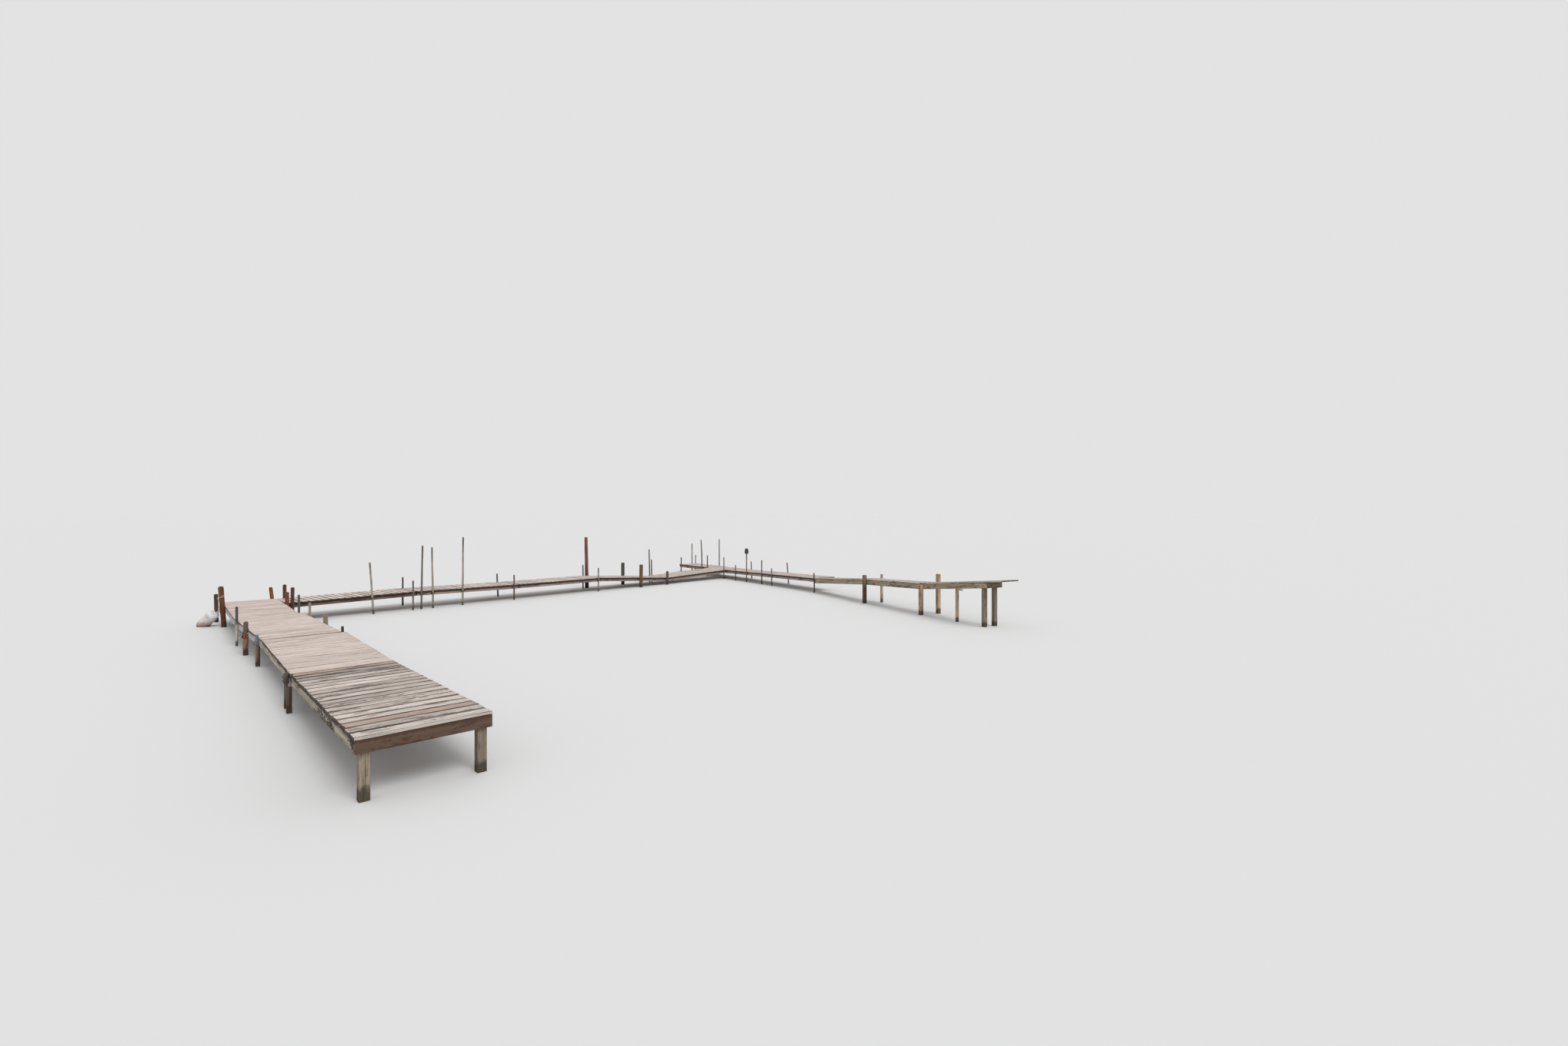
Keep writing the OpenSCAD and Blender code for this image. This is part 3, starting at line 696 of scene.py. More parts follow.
def settle_board(solid, grain, side, dice, seed, habit):
    """Bends, twists and shifts a board by a few millimetres, and frays its ends."""
    low, high = reach_of(solid, grain)
    side_low, side_high = reach_of(solid, side)
    middle = (side_low + side_high) / 2
    width = max(side_high - side_low, 0.01)
    lift = dice.uniform(0.0, habit["settle"])
    slide = dice.uniform(-habit["push"], habit["push"])
    turn = dice.uniform(-habit["turned"], habit["turned"])
    roll = dice.uniform(-1.0, 1.0) * habit["cup"]
    shift = seed * 40.0
    for vertex in solid:
        t = vertex.co.dot(grain)
        off = vertex.co.dot(side) - middle
        nearer = 2 * off / width
        wave = noise.noise(Vector((t * 1.7, shift, 0.3)))
        wave_side = noise.noise(Vector((t * 1.3, shift, 7.9)))
        move = UP * (lift + wave * habit["wander"] + habit["cup"] * nearer * nearer + roll * nearer)
        move += side * (wave_side * habit["wander"] * 0.5 + (t - (low + high) / 2) * turn)
        move += side * nearer * habit["widen"]
        move += grain * slide
        if min(t - low, high - t) < RIM:
            near_start = t - low < high - t
            bite = abs(noise.noise(Vector((off * 26.0, shift, 1.7 if near_start else 4.1))))
            move += grain * bite * habit["ragged"] * (1.6 if near_start else -1.6)
        vertex.co += move


# How boards are worn and laid: "step" and "fine" are the slices that let them bend
PLAIN_BOARDS = {
    "step": 0.2, "fine": 0, "bevel": 0.002, "widen": 0.002, "wander": 0.003, "settle": 0.0025,
    "ragged": 0.003, "push": 0.002, "cup": 0.0, "turned": 0.0008,
}
RAMP_BOARDS = dict(
    PLAIN_BOARDS, step=0.12, fine=0.045, bevel=0.004, widen=0.0, wander=0.005, settle=0.004, ragged=0.012,
    push=0.005, cup=0.0015, turned=0.0012)
CROSS_BOARDS = dict(
    PLAIN_BOARDS, step=0.25, bevel=0.0025, widen=-0.0022, wander=0.004, ragged=0.008, push=0.006)
BANK_BOARDS = dict(PLAIN_BOARDS, bevel=0.004, widen=0.0, wander=0.006, ragged=0.015)
JOINT_LINE = 0.014
JOINT_STAIN = 0.75
# How much of its stain colour the ramp's front board gets on its front face, which is painted greyer than its
# top
OUTER_FACE_SHARE = 0.8
RED_TONE = 0.95
# How near to an end or a side is its rim, where boards fray and stringers rot
RIM = 0.02


def darken_joint(solid, ahead, first, board):
    """The dark line where a bay starts against the one before it."""
    for face in faces_of(solid):
        for loop in face.loops:
            if loop.vert.co.dot(ahead) < first + JOINT_LINE / 2:
                loop[board] = (*loop[board][:3], JOINT_STAIN)


def deck(node, heading, wood, slot, dice, habit, lengthwise=False, end_board=False, dark_joint=False):
    """The boards of one bay: rounded edges, each a little bent and laid its own way."""
    shape = node_shape(node)
    ahead = along(heading, rise_of(shape, along(heading)))
    sideways = across(heading)
    grain, side = (ahead, sideways) if lengthwise else (sideways, ahead)
    bevel_corners(shape, habit["bevel"])
    slice_along(shape, grain, habit["step"])
    if habit["fine"]:
        slice_along(shape, side, habit["fine"])
    layers = add_maps(shape)
    first, last = reach_of(shape.verts, ahead)
    if dark_joint:
        cut_at(shape, ahead * (first + JOINT_LINE), ahead)
    for solid in separate_solids(shape):
        seed = dice.random()
        tone = dice.random()
        nearest, furthest = reach_of(solid, ahead)
        at_front = end_board and nearest < first + RIM
        if end_board and furthest > last - RIM:
            tone = RED_TONE
        outer_side = sideways if lengthwise else -ahead if at_front else None
        board_maps(solid, grain, side, tone, seed, layers, outer_side, 0.0 if lengthwise else OUTER_FACE_SHARE)
        if dark_joint and nearest < first + RIM:
            darken_joint(solid, ahead, first, layers[2])
        settle_board(solid, grain, side, dice, seed, habit)
    return finish_piece(to_object(shape, node.replace("deck", "boards"), WOODS[wood]), slot, node)


def bay_frame(node, heading, wood, slot, dice, header_shade=0.6, rot=0.0):
    """The stringers and joists of one bay, with weathered edges."""
    shape = node_shape(node)
    ahead = along(heading, rise_of(shape, along(heading)))
    sideways = across(heading)
    bevel_corners(shape, 0.003)
    slice_along(shape, ahead, 0.05 if rot else 0.25)
    layers = add_maps(shape)
    for solid in separate_solids(shape):
        seed = dice.random()
        frame_maps(solid, ahead, sideways, dice.random(), seed, layers, header_shade)
        low, high = reach_of(solid, sideways)
        for vertex in solid:
            t = vertex.co.dot(ahead)
            off = vertex.co.dot(sideways)
            wave = noise.noise(Vector((t * 1.1, seed * 40, 3.3)))
            move = sideways * wave * 0.002
            outer = min(off - low, high - off) < RIM
            if rot and outer:
                decay = noise.noise(Vector((t * 9.0, off * 2.0, seed * 30)))
                decay += 0.6 * noise.noise(Vector((t * 31.0, off * 2.0, seed * 70)))
                move += sideways * (1 if off - low < RIM else -1) * max(decay, 0) * rot
            vertex.co += move
    return finish_piece(to_object(shape, node.replace("frame", "stringers"), WOODS[wood]), slot, node)


def fit_axis(solid):
    """The foot and head of an upright solid, as points on its centre line."""
    low = min(vertex.co.z for vertex in solid)
    high = max(vertex.co.z for vertex in solid)
    foot_ring = [vertex.co for vertex in solid if vertex.co.z < low + 0.002]
    near_head = high - (high - low) * 0.1
    head_ring = [vertex.co for vertex in solid if vertex.co.z > near_head]
    foot = sum(foot_ring, Vector()) / len(foot_ring)
    head = sum(head_ring, Vector()) / len(head_ring)
    return foot, head


def uprights_in(shape, dice):
    """Every upright solid with its tone, seed, foot, head and height."""
    for solid in separate_solids(shape):
        tone = dice.random()
        seed = dice.random()
        foot, head = fit_axis(solid)
        yield solid, tone, seed, foot, head, max(head.z - foot.z, 0.05)


POST_HALF = 0.045


def square_posts(node, name, dice):
    """Sawn posts, their edges worn and their faces a little out of true."""
    shape = node_shape(node)
    bevel_corners(shape, 0.005)
    slice_along(shape, UP, 0.1)
    layers = add_maps(shape)
    tint = shape.loops.layers.float_color.new("tint")
    for solid, tone, seed, foot, head, rise in uprights_in(shape, dice):
        for face in faces_of(solid):
            top = abs(face.normal.z) > 0.8
            face_side = UP.cross(face.normal).normalized()
            for loop in face.loops:
                co = loop.vert.co
                arm = co - foot.lerp(head, (co.z - foot.z) / rise)
                if top:
                    heart = (arm.x / POST_HALF + 0.4, arm.y / POST_HALF - 0.3)
                    set_maps(loop, layers, seed, tone, arm.x, arm.y, heart, 1.0)
                else:
                    off = arm.dot(face_side)
                    set_maps(loop, layers, seed, tone, co.z, off + face.normal.x, (0.0, off / POST_HALF))
                colour = tone_at(WOOD_TONES, foot, co.z)
                # Painted light: the slim posts on the left are painted paler on the side that faces the light
                if node == "slim_posts" and foot.x < 0:
                    most = 0.8 if foot.y > -1 else 0.25
                    painted_lit_side = most * min(1.0, max(0.0, arm.dot(LIT_SIDE_DIRECTION) / 0.04))
                    colour = tuple(a + (b - a) * painted_lit_side for a, b in zip(colour, TONES["painted_lit_side"]))
                loop[tint] = colour
        for vertex in solid:
            co = vertex.co
            wave = noise.noise(Vector((co.z * 2.0, seed * 40, 0.5)))
            wave_y = noise.noise(Vector((co.z * 2.0, seed * 40, 9.5)))
            fade = min(1.0, co.z / 0.1)
            vertex.co += Vector((wave, wave_y, 0)) * 0.0025 * fade
    return finish_piece(to_object(shape, name, WOODS["square posts"]), "post_timber", node)


frame_names = [name.replace("_", "_frame_") for name in HEADINGS]
frame_surface = surface_of(*(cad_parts[name] for name in frame_names))


# The logs of the landing leg are slimmer than plain ones, and the lashed one swells under its rope
LASHED_LOG = (-8.38, 0.86)
LOG_GIRTH = 0.84
LASHED_GIRTH = 0.79
LASHED_SWELL = 0.11
SWELL_TOP = 0.31


def girth_at(node, foot, height):
    """How thick a log is, against its plain round."""
    if node != "round_logs" or foot.x > 0:
        return 1.0
    if math.hypot(foot.x - LASHED_LOG[0], foot.y - LASHED_LOG[1]) > 0.2:
        return LOG_GIRTH
    return LASHED_GIRTH + LASHED_SWELL * min(1.0, max(0.0, (SWELL_TOP - height) / 0.05))


def lean_over(foot, head, gap):
    """How a slimmer log moves over, so that it still lies against its stringer."""
    middle = foot.lerp(head, 0.5)
    away = frame_surface.find_nearest(middle)[0] - middle
    away.z = 0
    return away.normalized() * gap if 0.01 < away.length < 0.09 else Vector()


def round_timber(node, name, wood, slot, dice, tones, knobble=0.004):
    """Poles and logs: slightly uneven round wood that wanders off the straight."""
    shape = node_shape(node)
    slice_along(shape, UP, 0.05)
    layers = add_maps(shape)
    tint = shape.loops.layers.float_color.new("tint")
    for solid, tone, seed, foot, head, rise in uprights_in(shape, dice):
        widest = max(math.hypot(v.co.x - foot.x, v.co.y - foot.y) for v in solid if v.co.z < foot.z + 0.01)

        def spoke(co):
            return co - foot.lerp(head, (co.z - foot.z) / rise)

        for face in faces_of(solid):
            flat = abs(face.normal.z) > 0.8
            out = spoke(face.calc_center_median())
            base = math.atan2(out.y, out.x)
            for loop in face.loops:
                co = loop.vert.co
                arm = spoke(co)
                angle = math.atan2(arm.y, arm.x)
                angle = base + (angle - base + math.pi) % (2 * math.pi) - math.pi
                if flat:
                    ring = (arm.x / widest, arm.y / widest)
                    set_maps(loop, layers, seed, tone, arm.x, arm.y, ring, 1.0)
                else:
                    level = (0.0, spread(co.z, foot.z, head.z))
                    set_maps(loop, layers, seed, tone, co.z, angle * widest, level)
                loop[tint] = tone_at(tones, foot, co.z)
        shift = Vector((seed * 50.0, seed * 20.0, 0))
        over = lean_over(foot, head, widest * (1 - girth_at(node, foot, 0.4)))
        for vertex in solid:
            co = vertex.co
            part = (co.z - foot.z) / rise
            centre = foot.lerp(head, part)
            arm = co - centre
            arm.z = 0
            lump = noise.noise(Vector((arm.x * 22, arm.y * 22, co.z * 3.0)) + shift)
            fine = noise.noise(Vector((arm.x * 70, arm.y * 70, co.z * 6.0)) + shift)
            swell = girth_at(node, foot, co.z) + (lump + fine * 0.4) * knobble / max(arm.length, 0.01)
            bow = noise.noise(Vector((co.z * 1.1, seed * 60, 2.0))) * 0.006 * part
            vertex.co = Vector((centre.x + bow, centre.y - bow, co.z)) + arm * swell + over
    return finish_piece(to_object(shape, name, WOODS[wood], smooth=True), slot, node)


def steel_piece(node, name):
    """Pipes and sleeves with eased edges, in the tones that they have weathered to."""
    shape = node_shape(node)
    bevel_corners(shape, 0.0012)
    slice_along(shape, UP, 0.05)
    tint = shape.loops.layers.float_color.new("tint")
    for solid in separate_solids(shape):
        foot = fit_axis(solid)[0]
        for loop in (loop for face in faces_of(solid) for loop in face.loops):
            loop[tint] = tone_at(STEEL_TONES, foot, loop.vert.co.z)
    return finish_piece(to_object(shape, name, old_zinc, smooth=True), "galvanised_steel", node)


dice = random.Random(20)
decks = {}
bank_bays = ("return_5", "return_6", "return_7")

for name, heading in HEADINGS.items():
    walk, number = name.split("_")
    bank = name in bank_bays
    kind = "ramp" if name == "leg_1" else "bank" if bank else "leg" if walk == "leg" else "cross"
    wood, slot, habit, ways = {
        "ramp": ("ramp boards", "leg_boards", RAMP_BOARDS, {"end_board": True}),
        "leg": ("leg deck boards", "leg_boards", PLAIN_BOARDS, {"dark_joint": True}),
        "bank": ("bank planks", "bank_planks", BANK_BOARDS, {"lengthwise": True}),
        "cross": ("cross deck boards", "cross_boards", CROSS_BOARDS, {}),
    }[kind]
    decks[name] = deck(f"{walk}_deck_{number}", heading, wood, slot, dice, habit, **ways)
    rails = f"{walk}_frame_{number}"
    if name in ("leg_1", "leg_2"):
        bay_frame(rails, heading, "rotten leg stringers", "leg_stringers", dice, header_shade=0.9, rot=0.008)
    elif walk == "leg":
        bay_frame(rails, heading, "grey leg stringers", "leg_stringers", dice)
    elif bank:
        bay_frame(rails, heading, "bank stringers", "bank_stringers", dice, rot=0.004)
    else:
        side = "brown cross" if name == "cross_1" else walk
        bay_frame(rails, heading, f"{side} stringers", "cross_stringers", dice)

posts = {
    "timber_posts": square_posts("timber_posts", "square_posts", dice),
    "slim_posts": square_posts("slim_posts", "slim_square_posts", dice),
    "round_logs": round_timber("round_logs", "logs", "round logs", "red_log", dice, WOOD_TONES),
    "big_pile": round_timber("big_pile", "pile", "round logs", "red_log", dice, PILE_TONES, knobble=0.006),
    "leg_sleeves": steel_piece("leg_sleeves", "sleeves"),
}
round_timber("short_poles", "poles", "poles", "pole_timber", dice, POLE_TONES, knobble=0.002)
round_timber("tall_masts", "masts", "poles", "pole_timber", dice, POLE_TONES, knobble=0.002)
steel_piece("steel_legs", "pipes")
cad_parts["pole_straps"].material_slots[0].material = dull_iron
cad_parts["pole_cap"].material_slots[0].material = cap_dark

# Nails in the boards, where they lie on the stringers

NAIL_INSETS = {"leg": 0.027, "cross": 0.041, "return": 0.041}
ALONG_BOARD = (0.25, 0.75)
ACROSS_PLANK = (0.22, 0.78)
FIRST_NAIL = 0.019
NAIL_STEP = 0.54


def add_disc(shape, place, turned, segments, wide, narrow, depth):
    bmesh.ops.create_cone(
        shape, cap_ends=True, segments=segments, radius1=wide, radius2=narrow, depth=depth,
        matrix=Matrix.Translation(place) @ turned)


def drive_nail(shape, tree, x, y):
    """One worn nail head, flush with the board that lies under it."""
    place, normal = tree.ray_cast(Vector((x, y, 3)), -UP)[:2]
    if place is not None and normal.z >= 0.9:
        turned = normal.to_track_quat("Z", "Y").to_matrix().to_4x4()
        add_disc(shape, place + normal * 0.0002, turned, 8, 0.0044, 0.0036, 0.003)


def nails_in(walk, dice):
    """Two nails in every board at each stringer, and in the bank planks at each joist."""
    shape = bmesh.new()
    for name, heading in HEADINGS.items():
        if not name.startswith(walk):
            continue
        tree = surface_of(decks[name])
        boards = node_shape(name.replace("_", "_deck_"))
        ahead = along(heading)
        sideways = across(heading)
        low, high = reach_of(boards.verts, sideways)
        near_edge, far_edge = low + NAIL_INSETS[walk], high - NAIL_INSETS[walk]
        for solid in separate_solids(boards):
            start, end = reach_of(solid, ahead)
            if name in bank_bays:
                near, far = reach_of(solid, sideways)
                stations = [start + FIRST_NAIL + k * NAIL_STEP for k in range(6)]
                spots = [(t, near + (far - near) * part) for t in stations for part in ACROSS_PLANK]
            else:
                stations = [start + (end - start) * part for part in ALONG_BOARD]
                spots = [(t, off) for t in stations for off in (near_edge, far_edge)]
            for t, off in spots:
                place = ahead * (t + dice.uniform(-0.006, 0.006))
                place += sideways * (off + dice.uniform(-0.005, 0.005))
                drive_nail(shape, tree, place.x, place.y)
        boards.free()
    return finish_piece(to_object(shape, f"{walk}_nails", rusty_iron), "galvanised_steel")


for walk in ("leg", "cross", "return"):
    nails_in(walk, dice)

# Bolts that hold the posts, sleeves and straps to the stringers

BOLT_PARTS = (0.22, 0.72)


def add_bolt(shape, place, out, radius, sides):
    """A washer, a head and the end of a thread, pointing out of the timber."""
    turned = out.to_track_quat("Z", "Y").to_matrix().to_4x4()
    washer = (16, 1.8, 1.75, 0.003, 0.001)
    head = (sides, 1, 0.94, radius, 0.002)
    thread = (10, 0.5, 0.42, radius * 1.5, 0.002)
    for segments, wide, narrow, depth, start in (washer, head, thread):
        place_on = place + out * (start + depth / 2 - 0.001)
        add_disc(shape, place_on, turned, segments, radius * wide, radius * narrow, depth)


def held_heights(foot, head, reach):
    """The heights at which an upright piece lies against a stringer."""
    heights = []
    for step in range(int(foot.z * 100) + 2, int(head.z * 100)):
        point = foot.lerp(head, (step / 100 - foot.z) / (head.z - foot.z))
        place, _, _, distance = frame_surface.find_nearest(point)
        if distance < reach and abs(place.z - point.z) < 0.004:
            heights.append(step / 100)
    return heights


def bolt_at(shape, tree, point, out, radius, sides):
    """A bolt on the face that a ray from outside meets."""
    place = tree.ray_cast(point + out * 0.3, -out)[0]
    if place is not None:
        add_bolt(shape, place, out, radius, sides)


def away_from_frame(point):
    """The level direction from the nearest stringer to a point."""
    out = point - frame_surface.find_nearest(point)[0]
    out.z = 0
    return out.normalized()


def bolt_uprights(shape, node, reach, radius, sides):
    """Two bolts through each upright that lies against a stringer."""
    tree = surface_of(posts[node])
    source = node_shape(node)
    for solid in separate_solids(source):
        foot, head = fit_axis(solid)
        heights = held_heights(foot, head, reach)
        if not heights:
            continue
        for part in BOLT_PARTS:
            height = heights[0] + (heights[-1] - heights[0]) * part
            point = foot.lerp(head, (height - foot.z) / (head.z - foot.z))
            bolt_at(shape, tree, point, away_from_frame(point), radius, sides)
    source.free()


def bolt_straps(shape):
    """A small bolt through each ear of the straps."""
    tree = surface_of(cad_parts["pole_straps"])
    source = node_shape("pole_straps")
    for solid in separate_solids(source):
        middle = sum((vertex.co for vertex in solid), Vector()) / len(solid)
        out = away_from_frame(middle)
        sideways = out.cross(UP)
        low, high = reach_of(solid, sideways)
        for ear in (low + 0.01, high - 0.01):
            bolt_at(shape, tree, middle + sideways * (ear - middle.dot(sideways)), out, 0.0055, 6)
    source.free()


# How near an upright lies to the stringer that it is bolted to, and its bolts' radius and sides
BOLTED = {
    "timber_posts": (0.06, 0.011, 6), "slim_posts": (0.045, 0.009, 6), "round_logs": (0.075, 0.011, 6),
    "big_pile": (0.08, 0.013, 6), "leg_sleeves": (0.045, 0.008, 4),
}
bolts = bmesh.new()
for node, sizes in BOLTED.items():
    bolt_uprights(bolts, node, *sizes)
bolt_straps(bolts)
finish_piece(to_object(bolts, "bolts", rusty_iron), "galvanised_steel")

# White float with moulded grooves, a bung and an eye

BARREL_FOOT = Vector((-8.273, 5.553, 0.004))
BARREL_AXIS = Vector((0.2968, -0.7524, 0.588)).normalized()
BARREL_R = 0.116
BARREL_LENGTH = 0.52
EYE_R = 0.024
EYE_WIRE = 0.014
barrel_right = BARREL_AXIS.cross(UP).normalized() * -1
barrel_turned = Matrix((barrel_right, BARREL_AXIS.cross(barrel_right), BARREL_AXIS)).transposed().to_4x4()
barrel_place = Matrix.Translation(BARREL_FOOT) @ barrel_turned


def spin_round(shape, outline, steps):
    """Turns an outline into a closed round shape."""
    bmesh.ops.spin(shape, geom=outline, axis=UP, cent=(0, 0, 0), dvec=(0, 0, 0), angle=2 * math.pi,
                   steps=steps, use_merge=True, use_duplicate=False)
    bmesh.ops.remove_doubles(shape, verts=shape.verts, dist=0.0001)
    bmesh.ops.recalc_face_normals(shape, faces=shape.faces)


def make_barrel():
    """A closed round float with a domed end and two grooves, flat where the water cuts it."""
    outline = [(0, 0), (0.09, 0), (0.104, 0.006), (0.112, 0.018), (BARREL_R, 0.035)]
    for low in (0.315, 0.371):
        groove = ((0, 0), (0.002, 0.005), (0.006, 0.011), (0.006, 0.023), (0.002, 0.029), (0, 0.034))
        outline += [(BARREL_R - deep, low + up) for deep, up in groove]
    outline += [(BARREL_R, 0.462), (0.113, 0.478), (0.106, 0.493), (0.094, 0.505), (0.078, 0.512),
                (0.05, 0.518), (0, BARREL_LENGTH)]
    shape = bmesh.new()
    points = [shape.verts.new((radius, 0, height)) for radius, height in outline]
    spin_round(shape, points + [shape.edges.new(pair) for pair in zip(points, points[1:])], 64)
    bmesh.ops.transform(shape, matrix=barrel_place, verts=shape.verts)
    cut = cut_at(shape, (0, 0, 0), UP, clear_inner=True)["geom_cut"]
    bmesh.ops.edgeloop_fill(shape, edges=[item for item in cut if isinstance(item, bmesh.types.BMEdge)])
    shell = to_object(shape, "float_shell", float_white, smooth=True)
    return finish_piece(shell, "float_plastic", "float_barrel")


def on_dome(x, y, height, tilt):
    """A place on the domed end, turned outwards by a tilt in degrees."""
    outwards = Matrix.Rotation(math.atan2(y, x), 4, "Z") @ Matrix.Rotation(math.radians(tilt), 4, "Y")
    return barrel_place @ Matrix.Translation((x, y, height)) @ outwards


def make_eye(place):
    """The moulded eye that the rope is tied to, turned from a circle."""
    shape = bmesh.new()
    aside = Matrix.Translation((EYE_R, 0, 0))
    ring = bmesh.ops.create_circle(
        shape, cap_ends=False, segments=12, radius=EYE_WIRE / 2, matrix=aside)["verts"]
    for vertex in ring:
        vertex.co = Vector((vertex.co.x, 0, vertex.co.y))
    spin_round(shape, ring + list({edge for vertex in ring for edge in vertex.link_edges}), 24)
    upright = Matrix.Rotation(math.radians(90), 4, "X")
    bmesh.ops.transform(shape, matrix=place @ upright, verts=shape.verts)
    return finish_piece(to_object(shape, "float_eye", float_white, smooth=True), "float_plastic")


def make_bung():
    shape = bmesh.new()
    for height, *sizes in ((0.002, 24, 0.021, 0.02, 0.012), (0.011, 6, 0.012, 0.011, 0.01)):
        add_disc(shape, (0, 0, height), Matrix(), *sizes)
    bevel_corners(shape, 0.0015)
    bmesh.ops.transform(shape, matrix=on_dome(0.05, 0.053, 0.513, 12), verts=shape.verts)
    return finish_piece(to_object(shape, "float_bung", bung_dark, smooth=True), "cap_paint")


eye_place = on_dome(0.094, 0.046, 0.5, 45)
make_barrel()
make_eye(eye_place)
make_bung()

# Ropes: a loop round the corner log, the tie down to the barrel, and a lashing on another log


def smooth_path(points, count):
    """Even steps along a curve that runs smoothly through a few points."""
    ends = [points[0] * 2 - points[1]] + points + [points[-1] * 2 - points[-2]]
    fine = []
    for a, b, c, d in zip(ends, ends[1:], ends[2:], ends[3:]):
        for i in range(20):
            t = i / 20
            fine.append(0.5 * (2 * b + (c - a) * t + (2 * a - 5 * b + 4 * c - d) * t * t
                               + (3 * b - a - 3 * c + d) * t * t * t))
    fine.append(points[-1])
    lengths = [0.0]
    for a, b in zip(fine, fine[1:]):
        lengths.append(lengths[-1] + (b - a).length)
    path = []
    k = 0
    for i in range(count):
        target = lengths[-1] * i / (count - 1)
        while k < len(fine) - 2 and lengths[k + 1] < target:
            k += 1
        share = (target - lengths[k]) / max(lengths[k + 1] - lengths[k], 1e-9)
        path.append(fine[k].lerp(fine[k + 1], min(share, 1.0)))
    return path


def path_length(path):
    return sum((b - a).length for a, b in zip(path, path[1:]))


def rope_along(name, path, diameter, material, sides=10):
    """A round rope drawn out along a path, with a map that runs along and round it."""
    shape = bmesh.new()
    grain_map = shape.loops.layers.uv.new("grain")
    ahead = (path[1] - path[0]).normalized()
    turned = ahead.to_track_quat("Z", "Y")
    place = Matrix.Translation(path[0]) @ turned.to_matrix().to_4x4()
    ring = bmesh.ops.create_circle(
        shape, cap_ends=True, segments=sides, radius=diameter / 2, matrix=place)["verts"]
    where = {vertex: (0.0, i) for i, vertex in enumerate(ring)}
    edges = list({edge for vertex in ring for edge in vertex.link_edges})
    travelled = 0.0
    for i in range(1, len(path)):
        after = path[min(i + 1, len(path) - 1)] - path[i - 1]
        turned_next = ahead.rotation_difference(after.normalized()) @ turned
        place_next = Matrix.Translation(path[i]) @ turned_next.to_matrix().to_4x4()
        made = bmesh.ops.extrude_edge_only(shape, edges=edges)["geom"]
        new = [item for item in made if isinstance(item, bmesh.types.BMVert)]
        travelled += (path[i] - path[i - 1]).length
        for vertex in new:
            partner = next(e.other_vert(vertex) for e in vertex.link_edges if e.other_vert(vertex) in where)
            where[vertex] = (travelled, where[partner][1])
        bmesh.ops.transform(shape, matrix=place_next @ place.inverted(), verts=new)
        fresh = set(new)
        edges = [item for item in made if isinstance(item, bmesh.types.BMEdge) and set(item.verts) <= fresh]
        ahead, turned, place = after.normalized(), turned_next, place_next
    bmesh.ops.edgeloop_fill(shape, edges=edges)
    bmesh.ops.recalc_face_normals(shape, faces=shape.faces)
    for face in shape.faces:
        steps = [where[loop.vert][1] for loop in face.loops]
        wraps = max(steps) - min(steps) > sides / 2
        for loop, step in zip(face.loops, steps):
            round_it = step + sides if wraps and step < sides / 2 else step
            loop[grain_map].uv = (where[loop.vert][0], round_it / sides)
    return finish_piece(to_object(shape, name, material, smooth=True), "rope")


ROPE_D = 0.012
LOG_FOOT = Vector((-7.971, 5.035, 0))
LOG_LEAN = Vector((-0.0548, 0.059, 1))
LOG_R = 0.0495
LOG_LEFT = Vector((-0.9866, 0.163, 0))
LOG_FRONT = Vector((-0.163, -0.9866, 0))
LOOP_HEIGHT = 0.678
LOOP_TILT = 0.026
LOOP_WAVE = 0.003
LOOP_PROUD = 0.0055
KNOT_STEPS = 48


def on_corner_log(height, degrees, proud):
    """A point on the corner log: 0 degrees is its left side and 90 its front."""
    angle = math.radians(degrees)
    arm = (LOG_LEFT * math.cos(angle) + LOG_FRONT * math.sin(angle)) * (LOG_R + proud)
    return LOG_FOOT + LOG_LEAN * height + arm


def corner_loop():
    """Once round the corner log from the knot, lowest on its left side."""
    points = []
    for degrees in (12 + i * 7.5 for i in range(49)):
        angle = math.radians(degrees)
        height = LOOP_HEIGHT - LOOP_TILT * math.cos(angle) + LOOP_WAVE * math.sin(angle * 3)
        points.append(on_corner_log(height, degrees, LOOP_PROUD))
    return points


def simple_knot(middle, size, out):
    """The path of an overhand knot, drawn tight."""
    side = out.cross(UP).normalized()
    points = []
    for i in range(KNOT_STEPS + 1):
        t = 2 * math.pi * i / KNOT_STEPS
        x = math.sin(t) + 2 * math.sin(2 * t)
        y = math.cos(t) - 2 * math.cos(2 * t)
        z = -math.sin(3 * t)
        points.append(middle + (side * x + UP * y) * size / 3 + out * z * size / 2.2)
    return points


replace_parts(rope_along("corner_loop", corner_loop(), ROPE_D, rope_white), "log_rope")
knot_at = on_corner_log(0.652, 16, 0.012)
knot_out = (LOG_LEFT + LOG_FRONT * 0.3).normalized()
rope_along("corner_knot", simple_knot(knot_at, 0.013, knot_out), ROPE_D * 0.8, rope_white, sides=8)
eye_top = eye_place @ Vector((0, 0, EYE_R))
drop = [on_corner_log(*spot) for spot in (
    (0.645, 14, 0.014), (0.61, 22, 0.009), (0.57, 30, 0.008), (0.53, 34, 0.008), (0.49, 33, 0.008),
    (0.455, 26, 0.01), (0.425, 14, 0.016), (0.4, 2, 0.024))]
drop_path = smooth_path(drop + [eye_top.lerp(drop[-1], 0.35), eye_top], 30)
tie = rope_along("barrel_tie", drop_path, ROPE_D, rope_white)
tuple(drop_path[0])
round(path_length(drop_path), 3)
[tuple(point) for point in drop_path]

LASHED_FOOT = Vector((-8.376, 0.855, 0))
LASHED_LEAN = Vector((-0.0012, -0.0174, 1))
LASHED_R = 0.037
TO_STRINGER = Vector((0.9976, -0.0698, 0))
LASHED_LEFT = Vector((-0.983, 0.185, 0))
LASHED_FRONT = Vector((-0.185, -0.983, 0))
STRINGER_GAP = 0.036
LASHING_D = 0.015
LASHING_FOOT = 0.308
LASHING_RISE = 0.0142
LASHING_TURNS = 6
TURN_STEPS = 22


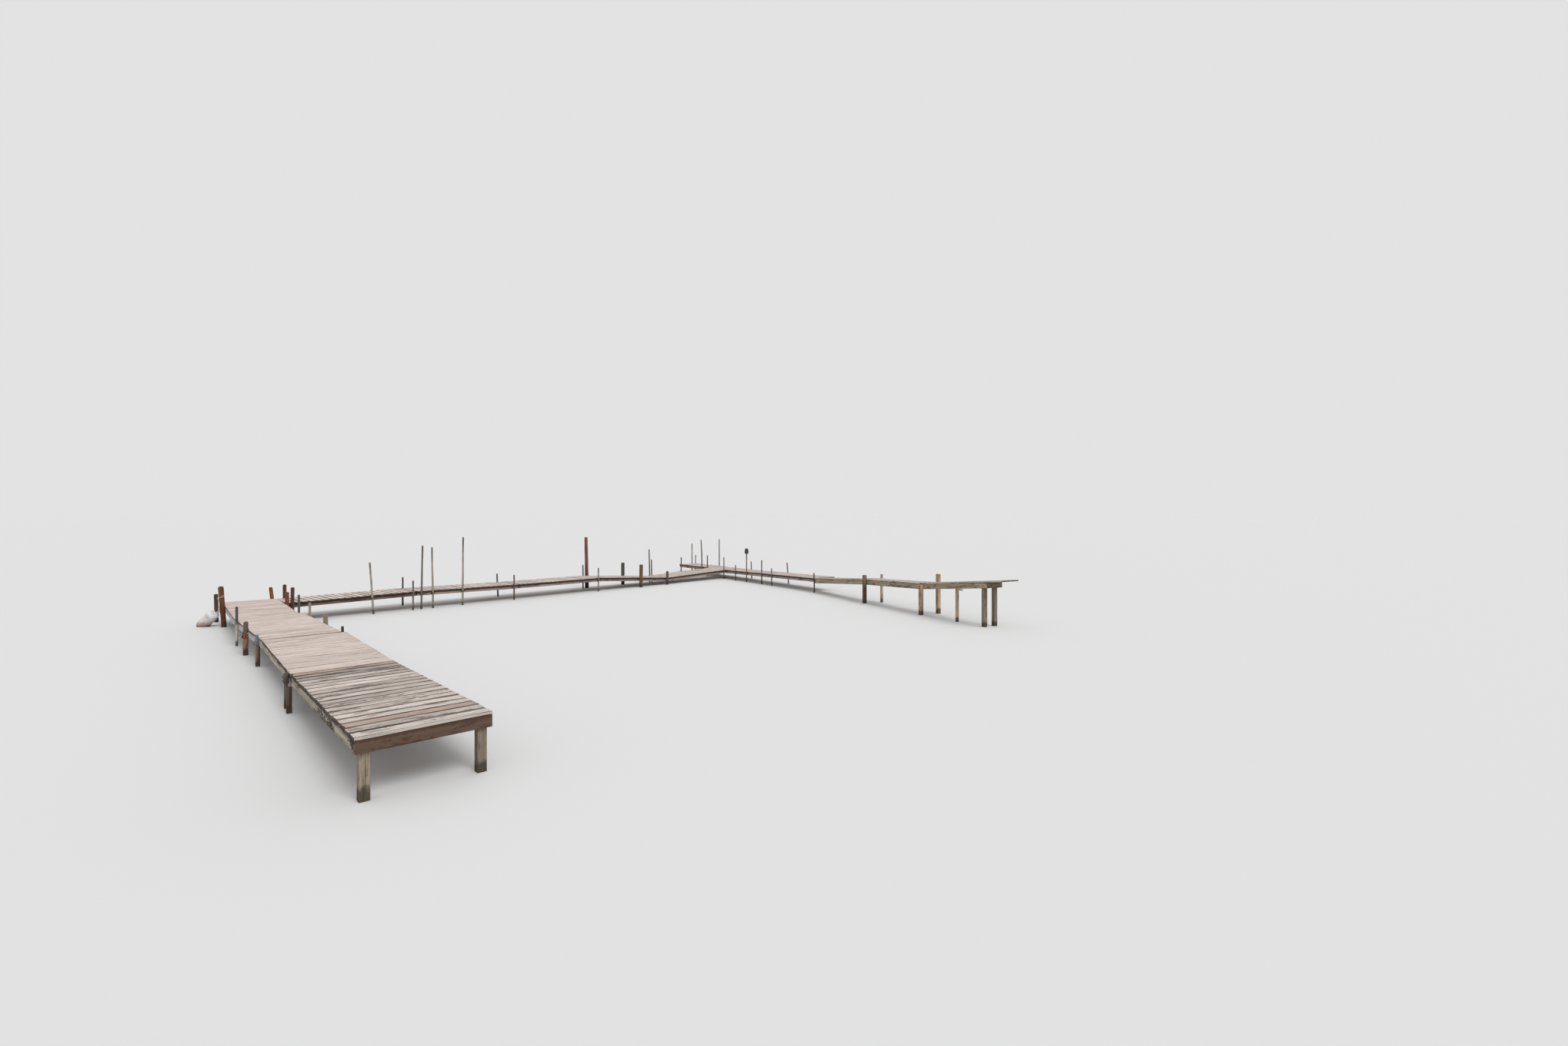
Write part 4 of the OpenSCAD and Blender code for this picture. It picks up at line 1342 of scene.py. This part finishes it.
def on_lashed_log(height, degrees, proud):
    """As on_corner_log, but pressed flat where the stringer is."""
    angle = math.radians(degrees)
    arm = (LASHED_LEFT * math.cos(angle) + LASHED_FRONT * math.sin(angle)) * (LASHED_R + proud)
    deep = max(0.0, arm.dot(TO_STRINGER) - STRINGER_GAP)
    return LASHED_FOOT + LASHED_LEAN * height + arm - TO_STRINGER * deep


def lashing_path():
    """Uneven turns round the log, from the bottom to the top."""
    points = []
    for i in range(LASHING_TURNS * TURN_STEPS + 1):
        turns = i / TURN_STEPS
        height = LASHING_FOOT + turns * LASHING_RISE
        height += 0.004 * noise.noise(Vector((turns * 2.1, 0.5, 3.7)))
        proud = LASHING_D * 0.42 + 0.003 * noise.noise(Vector((turns * 3.3, 8.1, 0.2)))
        points.append(on_lashed_log(height, turns * 360, proud))
    return points


rope_along("log_lashing", lashing_path(), LASHING_D, rope_brown, sides=8)
knot = simple_knot(on_lashed_log(0.345, 18, 0.02), 0.015, LASHED_LEFT)
rope_along("lashing_knot", knot, LASHING_D * 0.85, rope_brown, sides=8)
TAIL = [(0.345, 14, 0.02), (0.338, 8, 0.038), (0.318, 2, 0.052), (0.295, -2, 0.056)]
BIGHT = [
    (0.392, 118, 0.008), (0.4, 128, 0.024), (0.382, 136, 0.036), (0.352, 136, 0.034), (0.338, 126, 0.014)]
for name, spots, count in (("lashing_tail", TAIL, 14), ("lashing_bight", BIGHT, 16)):
    path = smooth_path([on_lashed_log(*spot) for spot in spots], count)
    rope_along(name, path, 0.01, rope_white, sides=8)

# Floor and light

floor_material, floor_nodes = new_material("studio floor")
floor_nodes.give({"Base Color": grey(0.72), "Roughness": 0.9})
floor_shape = bmesh.new()
bmesh.ops.create_grid(floor_shape, x_segments=1, y_segments=1, size=600)
floor = to_object(floor_shape, "floor", floor_material)

world = bpy.data.worlds.new("studio")
scene.world = world
world.use_nodes = True
sky = Nodes(world.node_tree, world.node_tree.nodes["Background"].inputs)
seen = {value.socket.name: value for value in sky.many("LightPath")}
direct = sky.math("MAXIMUM", seen["Is Camera Ray"], seen["Is Glossy Ray"])
direct = sky.math("MAXIMUM", direct, seen["Is Transmission Ray"])
sky.give({"Color": grey(0.9), "Strength": direct * 0.1 + 0.75})

sun_data = bpy.data.lights.new("soft sun", "SUN")
sun_data.energy = 1.6
sun_data.angle = math.radians(30)
sun = bpy.data.objects.new("soft sun", sun_data)
sun.rotation_euler = (math.radians(38), math.radians(-22), math.radians(20))
scene.collection.objects.link(sun)

scene.view_settings.view_transform = "Standard"
